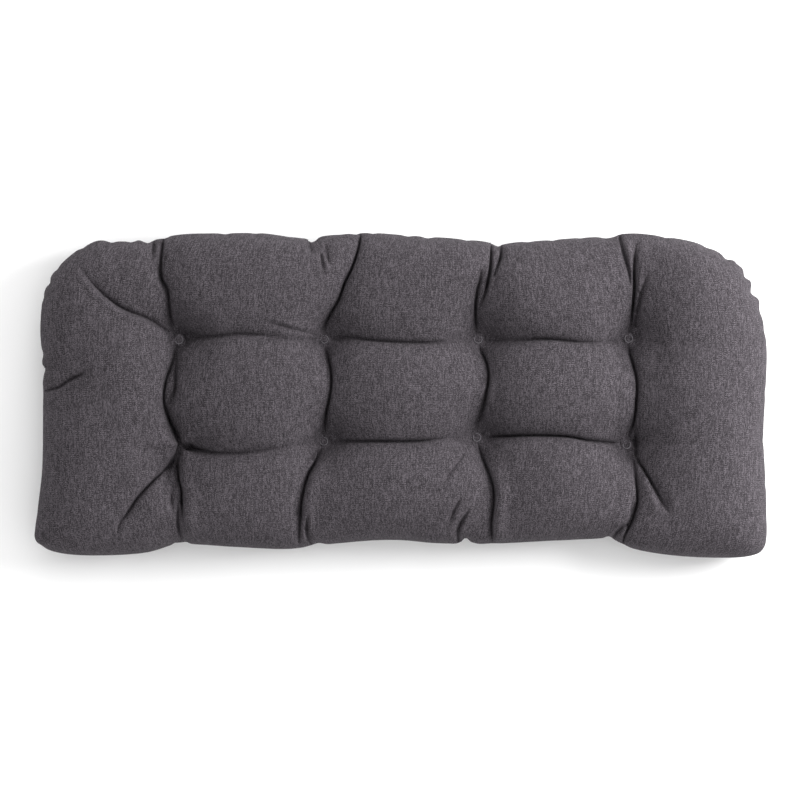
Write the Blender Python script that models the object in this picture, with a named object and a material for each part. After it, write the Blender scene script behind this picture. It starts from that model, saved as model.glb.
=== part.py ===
"""A settee cushion: one tufted, filled pad with a knife edge, and the thread tacks that tuft it.

Metres, +Z up. The cushion lies on its back face at z = 0 with its origin under the middle of its box.
+X runs along the settee and +Y points to the settee's back, where the corners are round. The cover is
one cloth folded round the front edge and sewn to itself along the two ends and the back, half way up.
"""

import math

import bpy
import numpy as np
from mathutils import Vector
from mathutils.geometry import delaunay_2d_cdt, interpolate_bezier

# Driving sizes.
SEAM_HEIGHT = 0.050  # the edge seam above the seat
CROWN_RISE = 0.069  # the pads' tops above the seam
VALLEY_RISE = 0.038  # the creases' floors above the seam, half way between two tufts
TUFT_RISE = 0.009  # the tufts' floors above the seam
TUFT_REACH = 0.048  # how far round a tuft its creases are pulled down
EDGE_ROUNDING = 0.032  # how fast the pads rise from the edge
CREASE_ROUNDING = 0.027  # how fast the pads rise from a crease
FOLDED_EDGE_POWER = 0.5  # the front edge, folded and round
SEWN_EDGE_POWER = 0.6  # the sewn edges, a little pinched
PINCH_FADE = 0.080  # the stretch over which one edge shape becomes the other

# The back face: the same pads, pressed flat by the seat.
UNDER_CROWN_DROP = 0.066
UNDER_VALLEY_DROP = 0.036
PRESSED_SOFTNESS = 0.006  # how gently a pad turns into its flat, pressed part

# The tacks: circles of thick thread sewn right through, one at each tuft on both faces.
TACK_RADIUS = 0.0062
THREAD_RADIUS = 0.0008
TUFT_FLAT_RADIUS = 0.0085
SEAT_GAP = 0.0003

# Spacing of the mesh's points.
EDGE_STEP = 0.0125
CREASE_STEP = 0.0110
PAD_STEP = 0.0200
UNDER_PAD_STEP = 0.0290
EDGE_ROWS = (0.0035, 0.0100, 0.0200, 0.0340)
CREASE_ROWS = (0.0050, 0.0120, 0.0230)
TUFT_ROWS = (0.0145, 0.0225)
UNDER_EDGE_ROWS = (0.0040, 0.0120, 0.0260)
UNDER_CREASE_ROWS = (0.0070, 0.0180)

# Where the tacks are, as the filling lets them settle: two rows of four, about 9 by 6 inches apart.
TUFTS = {
    "back_1": (-0.338, 0.084),
    "back_2": (-0.116, 0.085),
    "back_3": (0.119, 0.085),
    "back_4": (0.349, 0.086),
    "front_1": (-0.338, -0.086),
    "front_2": (-0.117, -0.071),
    "front_3": (0.117, -0.065),
    "front_4": (0.346, -0.076),
}

# The outline seen from above, clockwise from the front left corner. A smooth curve joins these points.
OUTLINE = [
    (-0.558, -0.218),
    (-0.552, -0.167),
    (-0.546, -0.110),
    (-0.545, -0.030),
    (-0.546, 0.050),
    (-0.549, 0.105),
    (-0.542, 0.160),
    (-0.518, 0.202),
    (-0.474, 0.231),
    (-0.400, 0.236),
    (-0.320, 0.247),
    (-0.220, 0.248),
    (-0.160, 0.243),
    (-0.100, 0.244),
    (-0.040, 0.248),
    (0.060, 0.242),
    (0.120, 0.236),
    (0.200, 0.235),
    (0.300, 0.242),
    (0.362, 0.247),
    (0.425, 0.240),
    (0.480, 0.222),
    (0.522, 0.190),
    (0.547, 0.145),
    (0.559, 0.080),
    (0.557, 0.015),
    (0.554, -0.060),
    (0.559, -0.170),
    (0.560, -0.222),
    (0.546, -0.243),
    (0.490, -0.249),
    (0.420, -0.246),
    (0.360, -0.236),
    (0.320, -0.219),
    (0.240, -0.223),
    (0.140, -0.228),
    (0.060, -0.227),
    (-0.005, -0.221),
    (-0.100, -0.228),
    (-0.170, -0.236),
    (-0.250, -0.233),
    (-0.335, -0.229),
    (-0.390, -0.242),
    (-0.460, -0.246),
    (-0.515, -0.243),
    (-0.548, -0.232),
]

# Where a crease runs out over the edge and draws it in: place, depth and half width.
EDGE_TUCKS = [
    {"x": -0.364, "y": 0.240, "depth": 0.002, "half_width": 0.010},
    {"x": -0.135, "y": 0.244, "depth": 0.011, "half_width": 0.013},
    {"x": 0.151, "y": 0.235, "depth": 0.005, "half_width": 0.016},
    {"x": 0.331, "y": 0.245, "depth": 0.003, "half_width": 0.008},
    {"x": 0.320, "y": -0.219, "depth": 0.002, "half_width": 0.010},
    {"x": 0.101, "y": -0.228, "depth": 0.008, "half_width": 0.008},
    {"x": -0.128, "y": -0.231, "depth": 0.003, "half_width": 0.012},
    {"x": -0.336, "y": -0.229, "depth": 0.003, "half_width": 0.010},
    {"x": -0.546, "y": 0.040, "depth": 0.006, "half_width": 0.009},
]

# The creases of the face: the points that each passes, and how hard the cloth is held down from its
# first point to its last, from 1, right down, to 0, where it has smoothed out. A name is a tuft.
FACE_CREASES = [
    {"way": ["back_1", (-0.350, 0.116), (-0.358, 0.160), (-0.365, 0.195), (-0.361, 0.234)], "hold": (1, 1)},
    {"way": ["back_1", (-0.346, 0.054), (-0.359, 0.018), (-0.361, -0.014), (-0.350, -0.046), "front_1"],
     "hold": (1, 1)},
    {"way": ["front_1", (-0.340, -0.120), (-0.334, -0.160), (-0.337, -0.200), (-0.334, -0.219)],
     "hold": (1, 1)},
    {"way": ["back_2", (-0.106, 0.122), (-0.090, 0.158), (-0.073, 0.198), (-0.061, 0.240)], "hold": (1, 1)},
    {"way": ["back_2", (-0.107, 0.045), (-0.105, 0.018), (-0.112, -0.022), "front_2"], "hold": (1, 1)},
    {"way": ["front_2", (-0.135, -0.112), (-0.149, -0.155), (-0.153, -0.195), (-0.148, -0.226)],
     "hold": (1, 1)},
    {"way": ["back_3", (0.115, 0.116), (0.116, 0.148), (0.131, 0.178), (0.138, 0.205), (0.139, 0.226)],
     "hold": (1, 1)},
    {"way": [(0.144, 0.180), (0.152, 0.206), (0.156, 0.224)], "hold": (0.3, 1)},
    {"way": ["back_3", (0.132, 0.050), (0.135, 0.024), (0.127, -0.020), "front_3"], "hold": (1, 1)},
    {"way": ["front_3", (0.128, -0.100), (0.142, -0.143), (0.141, -0.182), (0.141, -0.220)], "hold": (1, 1)},
    {"way": ["back_4", (0.354, 0.128), (0.357, 0.170), (0.358, 0.210), (0.362, 0.240)], "hold": (1, 1)},
    {"way": [(0.349, 0.180), (0.341, 0.214), (0.336, 0.237)], "hold": (0.3, 1)},
    {"way": ["back_4", (0.356, 0.048), (0.363, 0.018), (0.359, -0.036), "front_4"], "hold": (1, 1)},
    {"way": ["front_4", (0.358, -0.120), (0.358, -0.158), (0.352, -0.188), (0.341, -0.218)], "hold": (1, 1)},
    {"way": ["back_1", (-0.290, 0.090), (-0.240, 0.093), (-0.195, 0.088), "back_2"], "hold": (1, 0.85, 1)},
    {"way": ["back_2", (-0.060, 0.083), (0.000, 0.078), (0.060, 0.079), "back_3"], "hold": (1, 0.85, 1)},
    {"way": ["back_3", (0.180, 0.085), (0.228, 0.086), (0.290, 0.079), "back_4"], "hold": (1, 0.85, 1)},
    {"way": ["front_1", (-0.290, -0.090), (-0.240, -0.089), (-0.185, -0.078), "front_2"],
     "hold": (1, 0.85, 1)},
    {"way": ["front_2", (-0.070, -0.067), (0.000, -0.070), (0.060, -0.067), "front_3"], "hold": (1, 0.85, 1)},
    {"way": ["front_3", (0.180, -0.061), (0.236, -0.061), (0.290, -0.069), "front_4"], "hold": (1, 0.85, 1)},
    {"way": ["back_1", (-0.382, 0.114), (-0.424, 0.132), (-0.456, 0.157), (-0.486, 0.191)],
     "hold": (1, 0.97, 0.9, 0.4)},
    {"way": ["front_1", (-0.370, -0.124), (-0.400, -0.156), (-0.416, -0.180), (-0.431, -0.210)],
     "hold": (1, 0.97, 0.93, 0.5)},
    {"way": ["back_4", (0.374, 0.114), (0.398, 0.138), (0.424, 0.156)], "hold": (0.85, 0.6, 0.2)},
    {"way": ["front_4", (0.374, -0.114), (0.392, -0.144), (0.412, -0.178)], "hold": (1, 0.95, 0.3)},
    {"way": [(-0.536, 0.005), (-0.518, 0.009), (-0.494, 0.023), (-0.470, 0.036)], "hold": (0.8, 0.8, 0.3)},
]

# Under the cushion the creases are plain: straight from tuft to tuft and on to the edges.
UNDER_CREASES = [
    {"way": ["back_1", "back_2"], "hold": (1, 1)},
    {"way": ["back_2", "back_3"], "hold": (1, 1)},
    {"way": ["back_3", "back_4"], "hold": (1, 1)},
    {"way": ["front_1", "front_2"], "hold": (1, 1)},
    {"way": ["front_2", "front_3"], "hold": (1, 1)},
    {"way": ["front_3", "front_4"], "hold": (1, 1)},
    {"way": ["back_1", "front_1"], "hold": (1, 1)},
    {"way": ["back_2", "front_2"], "hold": (1, 1)},
    {"way": ["back_3", "front_3"], "hold": (1, 1)},
    {"way": ["back_4", "front_4"], "hold": (1, 1)},
    {"way": ["back_1", (-0.363, 0.230)], "hold": (1, 1)},
    {"way": ["back_2", (-0.125, 0.228)], "hold": (1, 1)},
    {"way": ["back_3", (0.140, 0.222)], "hold": (1, 1)},
    {"way": ["back_4", (0.345, 0.230)], "hold": (1, 1)},
    {"way": ["front_1", (-0.336, -0.212)], "hold": (1, 1)},
    {"way": ["front_2", (-0.128, -0.214)], "hold": (1, 1)},
    {"way": ["front_3", (0.110, -0.208)], "hold": (1, 1)},
    {"way": ["front_4", (0.330, -0.206)], "hold": (1, 1)},
]


def clear_scene():
    for existing in list(bpy.data.objects):
        bpy.data.objects.remove(existing)


def material(name, colour, roughness):
    """A Principled finish of one plain colour."""
    made = bpy.data.materials.new(name)
    made.use_nodes = True
    shader = made.node_tree.nodes["Principled BSDF"]
    shader.inputs["Base Color"].default_value = (*colour, 1)
    shader.inputs["Roughness"].default_value = roughness
    shader.inputs["Metallic"].default_value = 0.0
    return made


def smooth_curve(way, closed, parts=24):
    """Points along the smooth curve that passes the points of the way."""
    ways = np.array([TUFTS[stop] if isinstance(stop, str) else stop for stop in way])
    before = np.roll(ways, 1, 0) if closed else np.vstack([ways[:1], ways[:-1]])
    after = np.roll(ways, -1, 0) if closed else np.vstack([ways[1:], ways[-1:]])
    lean = (after - before) / 6
    points = []
    for i in range(len(ways) if closed else len(ways) - 1):
        j = (i + 1) % len(ways)
        handles = [ways[i], ways[i] + lean[i], ways[j] - lean[j], ways[j]]
        bezier = interpolate_bezier(*[Vector((*handle, 0)) for handle in handles], parts + 1)
        points += [point.to_2d() for point in bezier[:-1]]
    if not closed:
        points.append(ways[-1])
    return np.array([tuple(point) for point in points])


def evenly(points, step, closed):
    """The same curve as points about one step apart, with the share of its length at each."""
    line = np.vstack([points, points[:1]]) if closed else points
    along = np.concatenate([[0], np.cumsum(np.linalg.norm(np.diff(line, axis=0), axis=1))])
    count = max(2, round(along[-1] / step))
    at = np.linspace(0, along[-1], count + 1)
    spaced = np.stack([np.interp(at, along, line[:, axis]) for axis in (0, 1)], 1)
    return (spaced[:-1], at[:-1] / along[-1]) if closed else (spaced, at / along[-1])


def left_of(points, closed):
    """The unit vector to the left of the line at each of its points."""
    before = np.roll(points, 1, 0) if closed else np.vstack([points[:1], points[:-1]])
    after = np.roll(points, -1, 0) if closed else np.vstack([points[1:], points[-1:]])
    ahead = after - before
    ahead /= np.linalg.norm(ahead, axis=1, keepdims=True)
    return np.stack([-ahead[:, 1], ahead[:, 0]], 1)


def edge_line():
    """The outline as evenly spaced points with its tucks, and the inward direction at each."""
    line = smooth_curve(OUTLINE, closed=True)
    inward = -left_of(line, closed=True)
    for tuck in EDGE_TUCKS:
        away = np.linalg.norm(line - (tuck["x"], tuck["y"]), axis=1)
        line += inward * (tuck["depth"] * np.exp(-((away / tuck["half_width"]) ** 2)))[:, None]
    middle = (line.max(0) + line.min(0)) / 2
    line, _ = evenly(line - middle, EDGE_STEP, closed=True)
    return line, -left_of(line, closed=True)


class Points:
    """The flat plan of one face: places, and how hard the cloth is held down at each."""

    def __init__(self, edge):
        self.at = [tuple(point) for point in edge]
        self.hold = [0.0] * len(edge)
        self.ties = [(i, (i + 1) % len(edge)) for i in range(len(edge))]

    def room_for(self, point, gap):
        nearest = np.linalg.norm(np.array(self.at) - point, axis=1).min()
        return nearest > gap

    def add(self, point, hold=0.0):
        self.at.append(tuple(point))
        self.hold.append(hold)
        return len(self.at) - 1

    def add_row(self, points, gap, inside):
        for point in points:
            if inside(point) and self.room_for(point, gap) and not on_tuft(point):
                self.add(point)


def inside_test(edge):
    """A test of whether a point lies inside the edge line."""
    ends = np.roll(edge, -1, 0)

    def inside(point):
        crosses = (edge[:, 1] > point[1]) != (ends[:, 1] > point[1])
        rise = np.where(crosses, ends[:, 1] - edge[:, 1], 1.0)
        reach = edge[:, 0] + (point[1] - edge[:, 1]) / rise * (ends[:, 0] - edge[:, 0])
        return bool(np.sum(crosses & (reach > point[0])) % 2)

    return inside


def add_tufts(plan):
    """A small flat disc of points at each tuft, held right down."""
    for x, y in TUFTS.values():
        plan.add((x, y), hold=1.0)
        ring = []
        for i in range(10):
            turn = math.tau * i / 10
            spot = (x + TUFT_FLAT_RADIUS * math.cos(turn), y + TUFT_FLAT_RADIUS * math.sin(turn))
            ring.append(plan.add(spot, hold=1.0))
        plan.ties += list(zip(ring, ring[1:] + ring[:1]))


def on_tuft(point):
    return any(math.dist(point, tuft) < TUFT_FLAT_RADIUS + 0.002 for tuft in TUFTS.values())


def add_crease(plan, crease):
    """The points of one crease, tied in a line. Returns them for the rows beside it."""
    line, share = evenly(smooth_curve(crease["way"], closed=False), CREASE_STEP, closed=False)
    hold = np.interp(share, np.linspace(0, 1, len(crease["hold"])), crease["hold"])
    kept, previous = [], None
    for point, held in zip(line, hold):
        clear = plan.room_for(point, 0.003) and not on_tuft(point)
        if clear:
            index = plan.add(point, held)
            if previous is not None:
                plan.ties.append((previous, index))
        previous = index if clear else None
        kept.append(point)
    return np.array(kept)


def make_plan(edge, inward, creases, edge_rows, crease_rows, pad_step):
    """Spreads points over the face, close together at the edge and the creases and wide on the pads."""
    inside = inside_test(edge)
    plan = Points(edge)
    add_tufts(plan)
    lines = [add_crease(plan, crease) for crease in creases]
    for row in TUFT_ROWS:
        turns = np.arange(12) * math.tau / 12
        ring = np.stack([np.cos(turns), np.sin(turns)], 1) * row
        for tuft in TUFTS.values():
            plan.add_row(ring + tuft, 0.0050, inside)
    for row in edge_rows:
        plan.add_row(edge + inward * row, 0.6 * min(EDGE_STEP, 2 * row), inside)
    for row in crease_rows:
        for line in lines:
            side = left_of(line, closed=False) * row
            plan.add_row(np.vstack([line + side, line - side]), 0.6 * min(CREASE_STEP, 1.5 * row), inside)
    low, high = edge.min(0), edge.max(0)
    for j, y in enumerate(np.arange(low[1], high[1], pad_step * math.sqrt(0.75))):
        xs = np.arange(low[0] + pad_step / 2 * (j % 2), high[0], pad_step)
        plan.add_row([(x, y) for x in xs], 0.72 * pad_step, inside)
    return plan


def triangulate(plan):
    """The plan as points, how hard each is held, and triangles."""
    vectors = [Vector(point) for point in plan.at]
    found, _, faces, sources, _, _ = delaunay_2d_cdt(vectors, plan.ties, [], 1, 1e-6)
    places = np.array([tuple(point) for point in found])
    hold = np.array([max((plan.hold[s] for s in source), default=1.0) for source in sources])
    return places, hold, np.array(faces)


def spring_weights(places, faces):
    """Each pair of neighbours with its cotangent weight, and each point's share of the area."""
    pairs, weights = [], []
    area = np.zeros(len(places))
    for corner in range(3):
        a, b, c = (faces[:, (corner + k) % 3] for k in range(3))
        to_b, to_c = places[b] - places[a], places[c] - places[a]
        twice_area = np.abs(to_b[:, 0] * to_c[:, 1] - to_b[:, 1] * to_c[:, 0])
        pairs.append(np.stack([b, c], 1))
        weights.append(0.5 * (to_b * to_c).sum(1) / twice_area)
        area += np.bincount(a, twice_area / 6, len(places))
    return np.vstack(pairs), np.concatenate(weights), area


def swell(places, faces, hold, rounding):
    """How full the cloth is at each point, from 0 where it is held down to 1 far from there.

    It solves the equation of a skin that fills out over the rounding distance: conjugate gradients.
    """
    pairs, weights, area = spring_weights(places, faces)
    stiff = area / rounding**2
    # A full hold is as good as a nail, and a part hold lets the skin rise part of the way.
    nail = hold / np.maximum(1 - hold, 1e-3)

    def pull(value):
        slope = weights * (value[pairs[:, 0]] - value[pairs[:, 1]])
        total = np.bincount(pairs[:, 0], slope, len(value)) - np.bincount(pairs[:, 1], slope, len(value))
        return total + (stiff + nail) * value

    full = np.ones(len(places))
    rest = stiff - pull(full)
    scale = stiff + nail + np.bincount(pairs.ravel(), np.repeat(weights, 2), len(places))
    step = rest / scale
    energy = rest @ step
    for _ in range(600):
        reply = pull(step)
        amount = energy / (step @ reply)
        full = full + amount * step
        rest = rest - amount * reply
        ready = rest / scale
        before, energy = energy, rest @ ready
        if energy < 1e-16:
            break
        step = ready + energy / before * step
    return np.clip(full, 0.0, 1.0)


def near_tufts(places):
    """1 at a tuft, fading to 0 away from it."""
    fade = np.zeros(len(places))
    for tuft in TUFTS.values():
        away = np.linalg.norm(places - tuft, axis=1)
        fade = np.maximum(fade, np.exp(-((np.maximum(away - TUFT_FLAT_RADIUS, 0) / TUFT_REACH) ** 2)))
    return fade


def rise_of(places, faces, hold, on_edge, valley, crown):
    """The height of the cloth away from the seam's plane at each point."""
    from_edge = swell(places, faces, on_edge.astype(float), EDGE_ROUNDING)
    from_creases = swell(places, faces, hold, CREASE_ROUNDING)
    front = places[:, 1].min()
    folded = np.clip(1 - (places[:, 1] - front) / PINCH_FADE, 0, 1)
    power = SEWN_EDGE_POWER + (FOLDED_EDGE_POWER - SEWN_EDGE_POWER) * folded
    floor = valley + (TUFT_RISE - valley) * near_tufts(places)
    rise = from_edge**power * (floor + (crown - floor) * np.sqrt(from_creases))
    for tuft in TUFTS.values():
        rise[np.linalg.norm(places - tuft, axis=1) < TUFT_FLAT_RADIUS * 1.01] = TUFT_RISE
    rise[on_edge] = 0.0
    return rise


def press_flat(drop):
    """Stops the back face at the seat: the pads turn softly into flat patches."""
    over = np.clip(drop - (SEAM_HEIGHT - PRESSED_SOFTNESS), 0, 2 * PRESSED_SOFTNESS)
    eased = over - over**2 / (4 * PRESSED_SOFTNESS)
    return np.where(over > 0, SEAM_HEIGHT - PRESSED_SOFTNESS + eased, drop)


def mesh_object(name, points, faces, finish):
    mesh = bpy.data.meshes.new(name)
    mesh.from_pydata([tuple(point) for point in points], [], [tuple(int(i) for i in face) for face in faces])
    mesh.materials.append(finish)
    mesh.shade_smooth()
    mesh.update()
    made = bpy.data.objects.new(name, mesh)
    bpy.context.scene.collection.objects.link(made)
    return made


def build_cushion(finish):
    """The filled pad: its face and its back share the edge line."""
    edge, inward = edge_line()
    count = len(edge)
    sides = []
    for creases, edge_rows, crease_rows, pad_step, valley, crown in (
        (FACE_CREASES, EDGE_ROWS, CREASE_ROWS, PAD_STEP, VALLEY_RISE, CROWN_RISE),
        (UNDER_CREASES, UNDER_EDGE_ROWS, UNDER_CREASE_ROWS, UNDER_PAD_STEP, UNDER_VALLEY_DROP, UNDER_CROWN_DROP),
    ):
        plan = make_plan(edge, inward, creases, edge_rows, crease_rows, pad_step)
        places, hold, faces = triangulate(plan)
        on_edge = np.arange(len(places)) < count
        sides.append((places, faces, rise_of(places, faces, hold, on_edge, valley, crown)))
    (top, top_faces, rise), (under, under_faces, drop) = sides
    top_points = np.column_stack([top, SEAM_HEIGHT + rise])
    under_points = np.column_stack([under, SEAM_HEIGHT - press_flat(drop)])[count:]
    index = np.concatenate([np.arange(count), np.arange(len(under) - count) + len(top)])
    points = np.vstack([top_points, under_points])
    faces = np.vstack([top_faces, index[under_faces][:, ::-1]])
    return mesh_object("cushion", points, faces, finish)


def build_tack(name, place, height, finish, cushion):
    """One circle of thread, lying on the flat of its tuft and carried by the cushion."""
    bpy.ops.mesh.primitive_torus_add(
        major_radius=TACK_RADIUS,
        minor_radius=THREAD_RADIUS,
        major_segments=14,
        minor_segments=4,
        location=(*place, height),
    )
    tack = bpy.context.object
    tack.name = name
    tack.data.name = name
    tack.data.shade_smooth()
    tack.data.materials.append(finish)
    tack.parent = cushion


def main():
    clear_scene()
    cloth = material("charcoal_cloth", (0.085, 0.077, 0.085), 0.9)
    thread = material("grey_thread", (0.16, 0.15, 0.16), 0.7)
    cushion = build_cushion(cloth)
    lift = TUFT_RISE + SEAT_GAP + THREAD_RADIUS
    for name, place in TUFTS.items():
        build_tack(f"tack_{name}", place, SEAM_HEIGHT + lift, thread, cushion)
        build_tack(f"tack_under_{name}", place, SEAM_HEIGHT - lift, thread, cushion)


main()
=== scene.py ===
# %% [markdown]
# # A tufted settee cushion
#
# This cushion is one cloth cover, stuffed with loose polyester fibre and tufted with two rows of
# stitched circles. The solid model gives its size, its edge and the place of every tuft, and nothing
# here may change those. What is left to make is what the hand and the eye find on it: the swell of
# each pad, the creases that run from tuft to tuft, the puckers along the sewn edge, the rings of thick
# thread and the flecked weave.
#
# We load that solid model first. Everything else is measured from it.

# %% Load the solid model
import math

import bpy
import numpy as np
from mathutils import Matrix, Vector, noise
from mathutils.geometry import delaunay_2d_cdt


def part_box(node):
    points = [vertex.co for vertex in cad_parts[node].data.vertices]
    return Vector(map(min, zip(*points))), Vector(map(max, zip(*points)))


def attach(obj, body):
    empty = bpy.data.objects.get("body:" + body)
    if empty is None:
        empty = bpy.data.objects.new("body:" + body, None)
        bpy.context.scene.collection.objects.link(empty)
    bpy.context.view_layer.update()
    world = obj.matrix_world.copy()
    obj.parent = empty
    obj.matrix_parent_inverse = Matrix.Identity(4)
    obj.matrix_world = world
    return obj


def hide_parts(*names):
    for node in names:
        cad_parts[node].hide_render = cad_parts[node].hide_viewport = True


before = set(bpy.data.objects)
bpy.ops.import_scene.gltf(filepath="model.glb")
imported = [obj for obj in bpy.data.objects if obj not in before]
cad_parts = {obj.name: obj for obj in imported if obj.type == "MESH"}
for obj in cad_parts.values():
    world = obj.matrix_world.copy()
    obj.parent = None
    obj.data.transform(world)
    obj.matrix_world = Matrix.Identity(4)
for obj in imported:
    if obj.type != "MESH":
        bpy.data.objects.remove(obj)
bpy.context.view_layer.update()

# %% [markdown]
# ## Where the edge and the tufts are
#
# The cover is cut as one panel, folded round the front edge and sewn to itself along the two ends and
# the back. Seen from above, that fold and that seam make one closed line, half way up the cushion.
# We could draw it again by hand, but a line drawn twice never agrees with itself, so we read its
# points from the solid. Its outermost point tells how high the seam is, and sorting the points by
# their direction from the middle puts them in order. Each tack of the solid model sits a hair over its
# tuft, so its box gives the tuft's place and height.

# %% Read the seam line and the tufts
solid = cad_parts["cushion"].data
corners = np.array([vertex.co for vertex in solid.vertices])
SEAM_HEIGHT = float(corners[corners[:, 0].argmax(), 2])
on_seam = np.unique(corners[abs(corners[:, 2] - SEAM_HEIGHT) < 1e-5].round(6), axis=0)[:, :2]
seam = on_seam[np.argsort(-np.arctan2(on_seam[:, 1], on_seam[:, 0]))]

SEAT_GAP = 0.0003
TUFT_NAMES = ["back_1", "back_2", "back_3", "back_4", "front_1", "front_2", "front_3", "front_4"]
tufts = {}
for name in TUFT_NAMES:
    low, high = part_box(f"tack_{name}")
    tufts[name] = np.array([(low.x + high.x) / 2, (low.y + high.y) / 2])
    TUFT_RISE = low.z - SEAT_GAP - SEAM_HEIGHT
print(len(seam), "points on the seam, at", round(SEAM_HEIGHT, 4), "m")
print("the tufts rise", round(TUFT_RISE, 4), "m above it")

# %% [markdown]
# ## Smooth lines
#
# A seam, a crease or a fold is a smooth line through a few places. A Catmull-Rom curve suits this: it
# passes every place that it is given, and needs no handles. We then walk along it and drop points at
# an even step, because evenly spaced points make an even mesh.


# %% Smooth, evenly spaced lines
def spaced(line, step, closed):
    """The same line as points about one step apart, and each point's share of the way along it."""
    whole = np.vstack([line, line[:1]]) if closed else line
    along = np.concatenate([[0], np.cumsum(np.linalg.norm(np.diff(whole, axis=0), axis=1))])
    count = max(2, round(along[-1] / step))
    at = np.linspace(0, along[-1], count + 1)
    points = np.stack([np.interp(at, along, whole[:, axis]) for axis in (0, 1)], 1)
    if closed:
        return points[:-1], at[:-1] / along[-1]
    return points, at / along[-1]


def smooth(places, step, closed=False):
    """A smooth line through the places, as points about one step apart."""
    before = np.roll(places, 1, 0) if closed else np.vstack([2 * places[0] - places[1], places[:-1]])
    start = places if closed else places[:-1]
    end = np.roll(places, -1, 0) if closed else places[1:]
    after = np.roll(places, -2, 0) if closed else np.vstack([places[2:], 2 * places[-1] - places[-2]])
    before = before[: len(start)]
    t = np.linspace(0, 1, 12, endpoint=False)[None, :, None]
    b, s, e, a = (part[:, None, :] for part in (before, start, end, after))
    bend, turn = 2 * b - 5 * s + 4 * e - a, 3 * s - b - 3 * e + a
    curve = (0.5 * (2 * s + (e - b) * t + bend * t**2 + turn * t**3)).reshape(-1, 2)
    if not closed:
        curve = np.vstack([curve, places[-1:]])
    return spaced(curve, step, closed)


def left_of(line, closed=False):
    """The unit vector to the left of the line at each of its points."""
    before = np.roll(line, 1, 0) if closed else np.vstack([line[:1], line[:-1]])
    after = np.roll(line, -1, 0) if closed else np.vstack([line[1:], line[-1:]])
    ahead = after - before
    ahead = ahead / np.linalg.norm(ahead, axis=1, keepdims=True)
    return np.stack([-ahead[:, 1], ahead[:, 0]], 1)


seam_line, _ = smooth(seam, 0.0015, closed=True)
seam_length = np.linalg.norm(np.roll(seam_line, -1, 0) - seam_line, axis=1).sum()
print("the seam and the fold are", round(float(seam_length), 3), "m long together")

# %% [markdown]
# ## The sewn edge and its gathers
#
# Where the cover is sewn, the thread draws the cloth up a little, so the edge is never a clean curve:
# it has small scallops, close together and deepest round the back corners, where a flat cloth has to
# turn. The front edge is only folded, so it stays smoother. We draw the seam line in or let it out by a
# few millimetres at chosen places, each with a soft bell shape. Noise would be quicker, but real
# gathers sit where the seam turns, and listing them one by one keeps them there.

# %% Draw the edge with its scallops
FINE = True
EDGE_STEP = 0.0038 if FINE else 0.0070

SCALLOPS = [  # x and y in metres, then how far in the seam is drawn and the half width, in millimetres
    (-0.506, 0.214, 2.6, 40),
    (-0.385, 0.238, 1.5, 38),
    (-0.280, 0.249, 1.6, 60),
    (-0.175, 0.245, 1.3, 30),
    (0.020, 0.246, 2.0, 60),
    (0.165, 0.232, 1.3, 38),
    (0.312, 0.243, 1.2, 30),
    (0.402, 0.244, 1.7, 36),
    (0.515, 0.195, -1.2, 26),
    (0.555, 0.020, -2.8, 90),
    (0.556, -0.140, -2.0, 80),
    (0.520, -0.248, -1.0, 30),
    (0.300, -0.218, -1.8, 40),
    (0.010, -0.222, -1.5, 40),
    (-0.548, 0.062, 2.0, 8),
    (-0.543, 0.047, -3.6, 7),
    (-0.546, 0.148, 1.2, 6),
    (-0.539, 0.172, 3.2, 6),
    (-0.526, 0.194, 1.4, 6),
    (-0.486, 0.227, 1.5, 6),
    (-0.461, 0.234, -2.4, 12),
    (-0.441, 0.235, 2.0, 7),
    (-0.412, 0.236, 1.4, 6),
    (-0.400, 0.236, -1.2, 5),
    (-0.386, 0.238, 4.8, 8),
    (-0.358, 0.242, 1.4, 5),
    (-0.268, 0.249, 1.6, 8),
    (-0.222, 0.248, 0.9, 7),
    (-0.165, 0.243, 1.2, 12),
    (-0.144, 0.236, -3.2, 6),
    (-0.124, 0.238, -1.8, 6),
    (-0.069, 0.247, 1.9, 6),
    (-0.042, 0.248, 1.3, 6),
    (0.011, 0.246, 1.5, 7),
    (0.042, 0.244, 2.3, 8),
    (0.101, 0.238, 1.2, 6),
    (0.149, 0.230, 2.4, 5),
    (0.196, 0.235, 1.1, 6),
    (0.233, 0.237, 1.4, 6),
    (0.276, 0.241, 0.9, 6),
    (0.315, 0.244, 3.2, 10),
    (0.332, 0.243, -1.6, 8),
    (0.406, 0.243, 1.6, 8),
    (0.469, 0.227, 1.8, 8),
    (0.499, 0.210, 3.2, 7),
    (0.508, 0.203, -2.2, 6),
    (0.519, 0.192, -2.6, 8),
    (0.528, 0.182, 2.6, 6),
    (0.534, 0.172, -1.8, 6),
    (0.541, 0.158, 5.4, 8),
    (0.547, 0.144, -2.0, 8),
    (0.551, 0.128, 1.6, 8),
    (0.557, 0.098, 1.0, 6),
    (0.556, 0.004, 1.0, 7),
    (0.554, -0.070, 0.9, 6),
    (0.557, -0.136, 0.9, 6),
    (0.336, -0.224, -1.8, 12),
    (0.319, -0.217, 2.0, 6),
    (0.101, -0.221, 2.4, 5),
    (0.093, -0.222, -1.6, 5),
    (-0.125, -0.228, 1.4, 8),
    (-0.327, -0.227, 2.2, 5),
    (-0.345, -0.228, 1.6, 4),
    (-0.552, -0.231, 2.4, 8),
]

edge = seam_line
inward = -left_of(edge, closed=True)
for x, y, depth, half_width in SCALLOPS:
    away = np.linalg.norm(edge - (x, y), axis=1)
    away = np.sqrt(np.maximum(away**2 - away.min() ** 2, 0))
    edge = edge + inward * (0.001 * depth * np.exp(-((away / (0.001 * half_width)) ** 2)))[:, None]
edge, _ = spaced(edge, EDGE_STEP, closed=True)
inward = -left_of(edge, closed=True)
print(len(edge), "points round the edge,", len(SCALLOPS), "scallops")

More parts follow.
